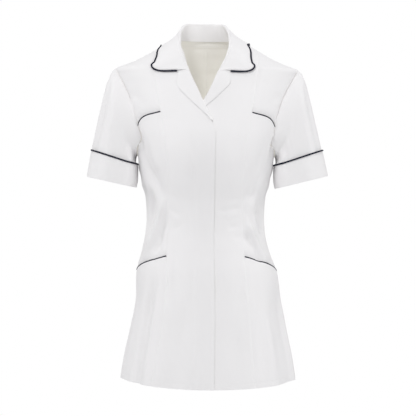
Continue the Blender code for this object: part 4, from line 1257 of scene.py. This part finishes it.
def collar_walls():
    """Grid of the whole collar and its cord, from the wearer's right gorge to the left."""
    mirror = np.array([-1, 1, 1])
    right, right_cord = collar_half("right")
    left, left_cord = collar_half("left")
    whole = np.concatenate((right[:0:-1] * mirror, left))
    whole_cord = np.concatenate((right_cord[:0:-1] * mirror, left_cord))
    behind_revers = ((whole_cord[:, 0] > COLLAR_PIPING_ENDS["right"])
                     & (whole_cord[:, 0] < COLLAR_PIPING_ENDS["left"])
                     & (whole_cord[:, 1] < 0))
    return whole, whole_cord[~behind_revers]


REVERS_COLUMNS = ("fold_out", "fold_height", "edge_out", "edge_height")
REVERS_SECTIONS = {
    "right": (
        (34.5, -71.8, 56.5, -71.6),
        (32.3, -77.8, 58.5, -87.5),
        (29.9, -83, 59.3, -99),
        (28, -87.5, 56, -108),
        (22.5, -99, 44.8, -120),
        (14.7, -116, 29.8, -135),
        (3.6, -140.5, 12, -152),
        (-6.6, -162, -2.2, -165),
        (-13, -174.5, -10.2, -173.8),
    ),
    "left": (
        (22.8, -71.8, 46.2, -71.6),
        (20.7, -77.5, 48, -84),
        (18.6, -82.2, 48, -93),
        (16.5, -87, 44, -101.5),
        (11.3, -99, 33.6, -111.5),
        (2.7, -116.5, 18.6, -126),
        (-6.3, -132, 1.6, -141),
        (-11.5, -145, -7, -149.6),
    ),
}
REVERS_ROLL = 1.9
REVERS_ROLL_TURNS = (20, 45, 70, 90, 110, 135, 160)
REVERS_TURN_IN = 9
REVERS_LAID_STEPS = 12
REVERS_STATIONS = 6
REVERS_FLAT = {"rolls": 1.6, "least_share": 1.5}
REVERS_SWELL = {"rise": 0.9, "full_width": 30, "edge_drop": 0.35, "edge_power": 6}


def revers_profile(width):
    """One section of a revers, as distance from its fold and lift off the front."""
    flat = REVERS_FLAT["rolls"] * REVERS_ROLL
    profile = [(REVERS_TURN_IN, -REVERS_ROLL), (flat, -REVERS_ROLL)]
    for turn in np.radians(REVERS_ROLL_TURNS):
        profile.append((REVERS_ROLL * (1 - math.sin(turn)), -REVERS_ROLL * math.cos(turn)))
    far = max(width, REVERS_FLAT["least_share"] * flat)
    for t in np.linspace(0, 1, REVERS_LAID_STEPS + 1):
        swell = REVERS_SWELL["rise"] * math.sin(math.pi * t)
        swell = swell * min(1, width / REVERS_SWELL["full_width"])
        drop = REVERS_SWELL["edge_drop"] * t**REVERS_SWELL["edge_power"]
        profile.append((flat + (far - flat) * t, REVERS_ROLL + swell - drop))
    return profile


def revers_wall(side):
    """Grid of one revers: turned in behind the front edge, folded and laid on the front."""
    rows = along(REVERS_SECTIONS[side], REVERS_STATIONS)
    value = dict(zip(REVERS_COLUMNS, rows.T))
    fold = np.stack((value["fold_out"], value["fold_height"]), -1)
    edge = np.stack((value["edge_out"], value["edge_height"]), -1)
    width = np.linalg.norm(edge - fold, axis=-1)
    direction = unit(edge - fold)
    profile = np.array([revers_profile(w) for w in width])
    spots = fold[:, None] + direction[:, None] * profile[..., :1]
    angles = angle_at(spots[..., 0], spots[..., 1])
    return cloth(side, angles, spots[..., 1], profile[..., 1])


collar_grid, collar_cord = collar_walls()
made["collar"] = shell("cloth_collar", collar_grid, CLOTH_FINISH[:1], thickness=1.2)
for side in SIDES:
    made[f"revers_{side}"] = shell(f"cloth_revers_{side}", revers_wall(side),
                                   CLOTH_FINISH[:1], side)
print("collar quads:", len(made["collar"].data.polygons))

# %% [markdown]
# Piping is a cord covered in navy cloth. It follows the collar's edge, the top of each
# cuff and the pocket mouths. Each one is a tube drawn along its line, with a UV map in
# metres so that its weave wraps round it. A curve with a bevel would give the shape,
# but not that map. The ends of an open cord are closed and a little thinner, and
# its thickness changes faintly along it, as cloth over a cord does.

# %% Piping
PIPING_SIDES = 14
PIPING_STEPS = {"collar": 420, "cuff": 180, "pocket": 60}
CORD_UPRIGHT = (0.03, 0.05, 1.0)
CORD_END_SHARE = 0.8
CORD_UNEVEN = {"long": 0.02, "long_length": 7.7, "short": 0.025, "short_length": 3.1}
CUFF_CORD_STEP = 0.4
PIPING_TRIM = {"breast_pocket": 3.0, "hip_pocket": 0.9}


def tube(name, line, radius, side="left", closed=False):
    """Round cord along a line of points."""
    line = np.array(line, float)
    if closed:
        ahead = unit(np.roll(line, -1, 0) - np.roll(line, 1, 0))
    else:
        ahead = unit(np.gradient(line, axis=0))
    beside = unit(np.cross(ahead, CORD_UPRIGHT))
    above = unit(np.cross(beside, ahead))
    turns = np.linspace(0, 2 * np.pi, PIPING_SIDES, endpoint=False)
    radii = np.full(len(line), float(radius))
    travelled = run_length(line, 0)
    short = CORD_UNEVEN["short"] * np.sin(travelled / CORD_UNEVEN["short_length"])
    long = CORD_UNEVEN["long"] * np.sin(travelled / CORD_UNEVEN["long_length"])
    radii = radii * (1 + short + long)
    if not closed:
        radii[[0, -1]] *= CORD_END_SHARE
    around = (beside[:, None] * np.cos(turns)[None, :, None]
              + above[:, None] * np.sin(turns)[None, :, None])
    points = stand(line[:, None] + around * radii[:, None, None], side)
    index = closed_ring(np.arange(points[..., 0].size).reshape(points.shape[:2]))
    v = travelled * MM
    if closed:
        index = np.concatenate((index, index[:1]))
        v = np.append(v, (travelled[-1] + np.linalg.norm(line[0] - line[-1])) * MM)
    u = np.linspace(0, 2 * np.pi * radius * MM, PIPING_SIDES + 1)
    uv = np.stack(np.meshgrid(u, v), -1)
    quads, corner_uv = facing_out(side, corners(index), corners(uv))
    faces = quads.tolist()
    if not closed:
        ends = facing_out(side, np.stack((index[0, :-1][::-1], index[-1, :-1])))[0]
        faces += ends.tolist()
        corner_uv = np.append(corner_uv.reshape(-1, 2), np.zeros((ends.size, 2)), axis=0)
    return smooth_piece(name, points, faces, corner_uv, [navy_cord])


def evenly(line, count, closed=False):
    """The same line with evenly spaced points."""
    line = np.array(line, float)
    if closed:
        line = np.concatenate((line, line[:1]))
    length = run_length(line, 0)
    places = np.linspace(0, length[-1], count + 1 if closed else count)
    if closed:
        places = places[:-1]
    return np.stack([np.interp(places, length, line[:, i]) for i in range(3)], -1)


def pocket_cord(side, name, line):
    """Line of the piping along a pocket mouth, on the free edge of the lower panel."""
    radius = PIPING_RADIUS["pocket"]
    steps = np.linspace(0, len(line) - 1, PIPING_STEPS["pocket"])
    index = np.arange(len(line))
    angle, height = smooth(index, line[:, 0], steps), smooth(index, line[:, 1], steps)
    lift = -POCKET_STEP + CLOTH / 2 + 2 * CAD_GAP + radius
    points = cloth(side, angle, height + radius + CAD_GAP, lift)
    points[0] += unit(points[3] - points[0]) * 3 * CAD_GAP
    points[-1] += unit(points[-2] - points[-1]) * PIPING_TRIM[name]
    return points


def cuff_cord(side):
    """Closed line of the piping round the top of a cuff."""
    radius = PIPING_RADIUS["cuff"]
    pair = sleeve_grid(side, [CUFF_TOP_SECTION - CUFF_CORD_STEP, CUFF_TOP_SECTION], CUFF_FOLDS)
    above, top = pair
    line = top + unit(above - top) * (radius + CAD_GAP)
    normals = grid_normals(np.stack((line, top)), ring=True)[0]
    lift = CLOTH / 2 + 1.2 * CAD_GAP + radius
    return evenly(line + normals * lift, PIPING_STEPS["cuff"], closed=True)


made["piping_collar"] = tube("piping_collar_cord", evenly(collar_cord, PIPING_STEPS["collar"]),
                             PIPING_RADIUS["collar"])
for side in SIDES:
    breast_line, hip_line = mouths(side)
    for name, line in (("breast_pocket", breast_line), ("hip_pocket", hip_line)):
        made[f"piping_{name}_{side}"] = tube(
            f"piping_{name}_cord_{side}", pocket_cord(side, name, line),
            PIPING_RADIUS["pocket"], side)
    made[f"piping_cuff_{side}"] = tube(f"piping_cuff_cord_{side}", cuff_cord(side),
                                       PIPING_RADIUS["cuff"], side, closed=True)
print("cords:", [name for name in made if name.startswith("piping")])

# %% [markdown]
# Topstitching is a row of small thread loops, all alike, along a line. Geometry Nodes
# suit it well: the line is resampled by the stitch length, a small rounded stitch is
# placed on each point, turned along the line and up off the cloth, and a seeded random
# value makes them slightly unequal. The lines are worked out on the panels themselves.

# %% Stitches
STITCH = {"length_mm": 2.9, "long_mm": 2.1, "wide_mm": 0.5, "tall_mm": 0.3,
          "smallest": 0.88, "largest": 1.08}


def stitch_tree():
    """Geometry Nodes group that sews a line of stitches along mesh edges."""
    tree = bpy.data.node_groups.new("sewn_line", "GeometryNodeTree")
    face = tree.interface
    face.new_socket("Geometry", in_out="INPUT", socket_type="NodeSocketGeometry")
    for name in ("Pitch", "Long", "Wide", "Tall"):
        face.new_socket(name, in_out="INPUT", socket_type="NodeSocketFloat")
    face.new_socket("Seed", in_out="INPUT", socket_type="NodeSocketInt")
    face.new_socket("Thread", in_out="INPUT", socket_type="NodeSocketMaterial")
    face.new_socket("Geometry", in_out="OUTPUT", socket_type="NodeSocketGeometry")
    s = Socket(tree, None)
    given = s.node("NodeGroupInput")
    curve = s.node("GeometryNodeMeshToCurve", (), {"Mesh": s.out(given, "Geometry")})
    even = s.node("GeometryNodeResampleCurve", {"mode": "LENGTH"},
                  {"Curve": s.out(curve, "Curve"), "Length": s.out(given, "Pitch")})
    up = s.node("GeometryNodeInputNamedAttribute", {"data_type": "FLOAT_VECTOR"},
                {"Name": "up"})
    upright = s.node("FunctionNodeAlignRotationToVector", {"axis": "Z"},
                     {"Vector": s.out(up, "Attribute")})
    tangent = s.node("GeometryNodeInputTangent")
    turned = s.node("FunctionNodeAlignRotationToVector", {"axis": "X", "pivot_axis": "Z"},
                    {"Rotation": s.out(upright, "Rotation"),
                     "Vector": s.out(tangent, "Tangent")})
    ball = s.node("GeometryNodeMeshUVSphere", (), {"Segments": 6, "Rings": 4, "Radius": 0.5})
    size = s.node("ShaderNodeCombineXYZ", (), {
        axis: s.out(given, name) for axis, name in zip("XYZ", ("Long", "Wide", "Tall"))})
    # Sockets 2 and 3 are the least and the most, and output 1 is the number
    random = s.node("FunctionNodeRandomValue", {"data_type": "FLOAT"},
                    {2: STITCH["smallest"], 3: STITCH["largest"],
                     "Seed": s.out(given, "Seed")})
    scaled = s.node("ShaderNodeVectorMath", {"operation": "SCALE"},
                    {0: s.out(size, "Vector"), "Scale": s.out(random, 1)})
    placed = s.node("GeometryNodeInstanceOnPoints", (), {
        "Points": s.out(even, "Curve"), "Instance": s.out(ball, "Mesh"),
        "Rotation": s.out(turned, "Rotation"), "Scale": s.out(scaled, "Vector")})
    real = s.node("GeometryNodeRealizeInstances", (), {"Geometry": s.out(placed, "Instances")})
    smoothed = s.node("GeometryNodeSetShadeSmooth", (), {"Geometry": s.out(real, "Geometry")})
    dressed = s.node("GeometryNodeSetMaterial", (), {
        "Geometry": s.out(smoothed, "Geometry"), "Material": s.out(given, "Thread")})
    s.node("NodeGroupOutput", (), {"Geometry": s.out(dressed, "Geometry")})
    return tree


sewn_line = stitch_tree()


def sew(name, lines, seed, pitch=STITCH["length_mm"]):
    """Stitches along lines, each one a side, its points and the way up off the cloth."""
    points, ups, edges = [], [], []
    for side, line, up in lines:
        line, up = stand(line, side), np.array(up, float)
        if side == "right":
            up = up * (-1, 1, 1)
        first = len(points)
        points += (line * MM).tolist()
        ups += up.tolist()
        edges += [(first + i, first + i + 1) for i in range(len(line) - 1)]
    path = bpy.data.meshes.new(name)
    path.from_pydata(points, edges, [])
    attribute = path.attributes.new("up", "FLOAT_VECTOR", "POINT")
    attribute.data.foreach_set("vector", np.array(ups, np.float32).reshape(-1))
    carrier = put_in_scene(name + "_path", path)
    modifier = carrier.modifiers.new("stitches", "NODES")
    modifier.node_group = sewn_line
    values = {"Pitch": pitch * MM, "Long": STITCH["long_mm"] * MM,
              "Wide": STITCH["wide_mm"] * MM, "Tall": STITCH["tall_mm"] * MM,
              "Seed": seed, "Thread": thread_finish}
    for item in sewn_line.interface.items_tree:
        if item.in_out == "INPUT" and item.name in values:
            modifier[item.identifier] = values[item.name]
    mesh = final_mesh(carrier)
    bpy.data.objects.remove(carrier, do_unlink=True)
    return put_in_scene(name, mesh)


ON_CLOTH = SHELL / 2 + 0.02
STITCH_POINTS = {"fly": 240, "hem": 420, "mouth": 60, "neck": 70}
EDGE_STITCH_TOP = -188
FLY_ABOVE_HEM = 2
HEM_STITCH = {"from_edge": 2, "level": -700.0, "past_edge": 0.6, "left_from": 12}
MOUTH_STITCH = {"below": 5.5, "inner": 0.4, "outer": 1.4}
CUFF_STITCH = {"above": 5.62, "edge": 7.62, "back": 0.05}
NECK_STITCH = {"from": 98, "pitch_mm": 2.6, "off_tape": 0.35}


def line_on_body(side, angle, height, lift=ON_CLOTH):
    """A line for sew(): the side, its points on the cloth, and the way up."""
    angle, height = np.broadcast_arrays(np.asarray(angle, float), np.asarray(height, float))
    return side, cloth(side, angle, height, lift), form_normal(angle, height)


def fly_lines():
    """Two rows down the upper front: the fly, and one close to the edge."""
    lines = []
    for inset_mm, top in ((FLY["stitch_from_edge"], FLY["top"]),
                          (FLY["edge_stitch"], EDGE_STITCH_TOP)):
        heights = np.linspace(top, HEM["front"] + FLY_ABOVE_HEM, STITCH_POINTS["fly"])
        out = column(FRONT_OPENING, OPENING_COLUMNS, "right", heights) + inset_mm
        lines.append(line_on_body("right", angle_at(out, heights), heights))
    return lines


def hem_lines():
    """One row round the hem, broken where the fronts lap."""
    lines = []
    for side in SIDES:
        first = float(opening(side, HEM_STITCH["level"])[0]) + HEM_STITCH["past_edge"]
        angles = np.linspace(first, 180, STITCH_POINTS["hem"])
        if side == "left":
            angles = angles[angles > HEM_STITCH["left_from"]]
        heights = hem(angles) + HEM_DEPTH - HEM_STITCH["from_edge"]
        lines.append(line_on_body(side, angles, heights))
    return lines


def mouth_lines():
    """A row under each pocket mouth, through the folded edge of the lower panel."""
    lines = []
    for side in SIDES:
        for line in mouths(side):
            index = np.arange(len(line))
            last = len(line) - MOUTH_STITCH["outer"]
            steps = np.linspace(MOUTH_STITCH["inner"], last, STITCH_POINTS["mouth"])
            angle = smooth(index, line[:, 0], steps)
            height = smooth(index, line[:, 1], steps) - MOUTH_STITCH["below"]
            lines.append(line_on_body(side, angle, height))
    return lines


def cuff_lines():
    """A row above each cuff, and one near its lower edge."""
    lines = []
    for side in SIDES:
        for section, folds, lift in ((CUFF_STITCH["above"], SLEEVE_FOLDS, 0.0),
                                     (CUFF_STITCH["edge"], CUFF_FOLDS, LAYER_STEP)):
            grid = sleeve_grid(side, [section - CUFF_STITCH["back"], section], folds, lift)
            normals = grid_normals(grid, ring=True)[1]
            ring = grid[1] + normals * ON_CLOTH if lift == 0 else grid[1]
            lines.append((side, np.concatenate((ring, ring[:1])),
                          np.concatenate((normals, normals[:1]))))
    return lines


def neck_lines():
    """A row inside the back neck, along the tape that covers the seam."""
    angles = np.linspace(NECK_STITCH["from"], 180, STITCH_POINTS["neck"])
    lines = []
    for side in SIDES:
        _, points, normals = line_on_body(side, angles, NECK_TAPE["height"] + 0 * angles,
                                          -NECK_TAPE["inside"] - NECK_STITCH["off_tape"])
        lines.append((side, points, -normals))
    return lines


# %% [markdown]
# Inside the back neck the photograph shows a pale band under the collar seam: a narrow
# tape that covers the raw edges. It is a strip of cloth laid just inside the back.

# %% Neck tape
NECK_TAPE = {"height": -6.5, "half_depth": 3.6, "inside": 1.5, "edge_lift": 0.25,
             "from": 94, "points": 70, "rows": 7, "thickness": 0.5}


def neck_tape():
    """Grid of the tape, from the wearer's left over the centre back to the right."""
    angles = np.linspace(NECK_TAPE["from"], 180, NECK_TAPE["points"])
    halves = []
    for side in SIDES:
        rows = []
        for t in np.linspace(-1, 1, NECK_TAPE["rows"]):
            heights = np.full(len(angles), NECK_TAPE["height"] + t * NECK_TAPE["half_depth"])
            lift = -NECK_TAPE["inside"] + NECK_TAPE["edge_lift"] * t * t
            rows.append(cloth(side, angles, heights, lift))
        halves.append(np.array(rows))
    right = halves[0] * (-1, 1, 1)
    return np.concatenate((halves[1], right[:, -2::-1]), axis=1)


# The tape takes the inside finish, with its painted warm shade and painted glow
tape = shell("neck_tape", neck_tape(), (white_in_painted_shade_glow,), thickness=NECK_TAPE["thickness"])

stitching = {
    "front_centre_right": sew("stitching_fly", fly_lines(), 3),
    "back_left": sew("stitching_hem", hem_lines(), 5),
    "side_front_lower_left": sew("stitching_pocket_mouths", mouth_lines(), 7),
    "sleeve_left": sew("stitching_cuffs", cuff_lines(), 11),
    "back_right": sew("stitching_neck", neck_lines(), 13, NECK_STITCH["pitch_mm"]),
}
print("stitch faces:", {o.name: len(o.data.polygons) for o in stitching.values()})

# %% [markdown]
# The photograph has a plain white ground and soft light, mostly from the front and a
# little from the left. A large pale floor lies below, where a wearer would stand. The
# world is white to the camera, and dimmer as a light, so that the sides of the tunic
# still turn away into shade.

# %% Stage and light
FLOOR = {"height": -1400, "radius": 3500, "corners": 96}
# The floor fades out between these distances, in metres
FLOOR_FADE = {"From Min": 1.9, "From Max": 3.7, "To Min": 1.0, "To Max": 0.0}
FLOOR_LOOK = {"Base Color": (0.9, 0.9, 0.9, 1), "Roughness": 0.9}
LIGHTS = (
    # Name, place, aim, size, watts
    ("key", (-1.0, -2.6, 2.2), (0, 0, -0.35), 0.7, 46),
    ("fill", (1.6, -2.9, 0.1), (0, 0, -0.35), 1.4, 19),
    ("right", (3.1, 0.0, 0.9), (0, 0, -0.4), 1.4, 27),
    ("left", (-3.1, 0.0, 0.8), (0, 0, -0.4), 1.4, 26),
    ("top", (0, -0.2, 2.7), (0, 0, -0.2), 1.6, 8),
    ("back", (0.8, 3.2, 0.9), (0, 0, -0.35), 2.4, 28),
)
AMBIENT = 0.43
AMBIENT_COLOUR = (0.97, 0.98, 1, 1)

world = bpy.data.worlds.new("studio")
world.use_nodes = True
bpy.context.scene.world = world
ground = Socket(world.node_tree, 0.0)
world.node_tree.nodes.clear()
seen = ground.node("ShaderNodeBackground", (), {"Color": (1, 1, 1, 1), "Strength": 1.0})
lit = ground.node("ShaderNodeBackground", (), {"Color": AMBIENT_COLOUR,
                                               "Strength": AMBIENT})
path = ground.node("ShaderNodeLightPath")
mix = ground.node("ShaderNodeMixShader", (), {0: ground.out(path, "Is Camera Ray"),
                                              1: ground.out(lit, 0), 2: ground.out(seen, 0)})
ground.node("ShaderNodeOutputWorld", (), {"Surface": ground.out(mix, 0)})

floor_mesh = bpy.data.meshes.new("floor")
turns = np.linspace(0, 2 * np.pi, FLOOR["corners"], endpoint=False)
rim = np.stack((np.cos(turns), np.sin(turns), 0 * turns), -1) * FLOOR["radius"] * MM
rim[:, 2] = FLOOR["height"] * MM
floor_mesh.from_pydata(rim.tolist(), [], [list(range(len(turns)))])
floor = put_in_scene("floor", floor_mesh)
pale, pale_shader, s = new_finish("pale_floor")
place = s.out(s.node("ShaderNodeTexCoord"), "Object")
distance = s.out(s.node("ShaderNodeVectorMath", {"operation": "LENGTH"}, {0: place}), "Value")
fade = s.out(s.node("ShaderNodeMapRange", {"interpolation_type": "SMOOTHSTEP"},
                    {"Value": distance} | FLOOR_FADE), "Result")
for name, value in FLOOR_LOOK.items():
    pale_shader.inputs[name].default_value = value
pale.node_tree.links.new(fade.value, pale_shader.inputs["Alpha"])
floor_mesh.materials.append(pale)

for name, spot, aim, size, watts in LIGHTS:
    light = bpy.data.lights.new(name, "AREA")
    light.shape = "DISK"
    light.size = size
    light.energy = watts
    lamp = put_in_scene(name, light)
    lamp.location = spot
    lamp.rotation_mode = "QUATERNION"
    lamp.rotation_quaternion = (Vector(aim) - Vector(spot)).to_track_quat("-Z", "Y")

scene = bpy.context.scene
scene.view_settings.view_transform = "Standard"
scene.view_settings.look = "None"
scene.view_settings.exposure = 0.0
print("lights:", [row[0] for row in LIGHTS])

# %% [markdown]
# Last, each piece takes the place of its solid and rides on the one body. Every piece
# of cloth states the size that it was cut to, without seam allowances: what shows of
# it, all round on a tube.

# %% Hand over
CUT = {
    # Width and length in mm, area in cm2, how it is held and what it hangs from
    "front_centre_right": (136, 794, 752, "hung", ["back_upper_right"]),
    "front_centre_left": (120, 794, 736, "hung", ["back_upper_left"]),
    "side_front_upper_right": (94, 207, 141, "hung", ["back_upper_right"]),
    "side_front_upper_left": (94, 207, 143, "hung", ["back_upper_left"]),
    "side_front_middle_right": (139, 360, 363, "hung", ["side_front_upper_right"]),
    "side_front_middle_left": (139, 360, 365, "hung", ["side_front_upper_left"]),
    "side_front_lower_right": (141, 277, 347, "hung", ["side_front_middle_right"]),
    "side_front_lower_left": (156, 277, 368, "hung", ["side_front_middle_left"]),
    "back_right": (252, 858, 1450, "hung", ["front_centre_upper_right"]),
    "back_left": (252, 858, 1450, "hung", ["front_centre_upper_left"]),
    "sleeve_right": (330, 200, 385, "hung", ["back_upper_right", "front_centre_upper_right"]),
    "sleeve_left": (330, 200, 388, "hung", ["back_upper_left", "front_centre_upper_left"]),
    "cuff_right": (336, 62, 188, "laid", ["sleeve_right"]),
    "cuff_left": (348, 62, 192, "laid", ["sleeve_left"]),
    "collar": (550, 98, 330, "folded", ["back_upper_right", "back_upper_left"]),
    "revers_right": (45, 132, 39, "folded", ["front_centre_upper_right"]),
    "revers_left": (44, 108, 32, "folded", ["front_centre_upper_left"]),
}
PARTED = {"front_centre": ("front_centre_upper", "front_centre_lower"),
          "back": ("back_upper", "back_lower")}

for node, piece in made.items():
    name, _, side = node.rpartition("_")
    for solid in PARTED.get(name, (name,)):
        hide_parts(f"{solid}_{side}" if name else node)
    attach(piece, "root")
for carrier, piece in stitching.items():
    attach(piece, "root")
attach(tape, "root")
for node, (width, length, area, held, carrier) in CUT.items():
    sewn_on = [stitching[node]] if node in stitching else []
    if node == "back_right":
        sewn_on.append(tape)
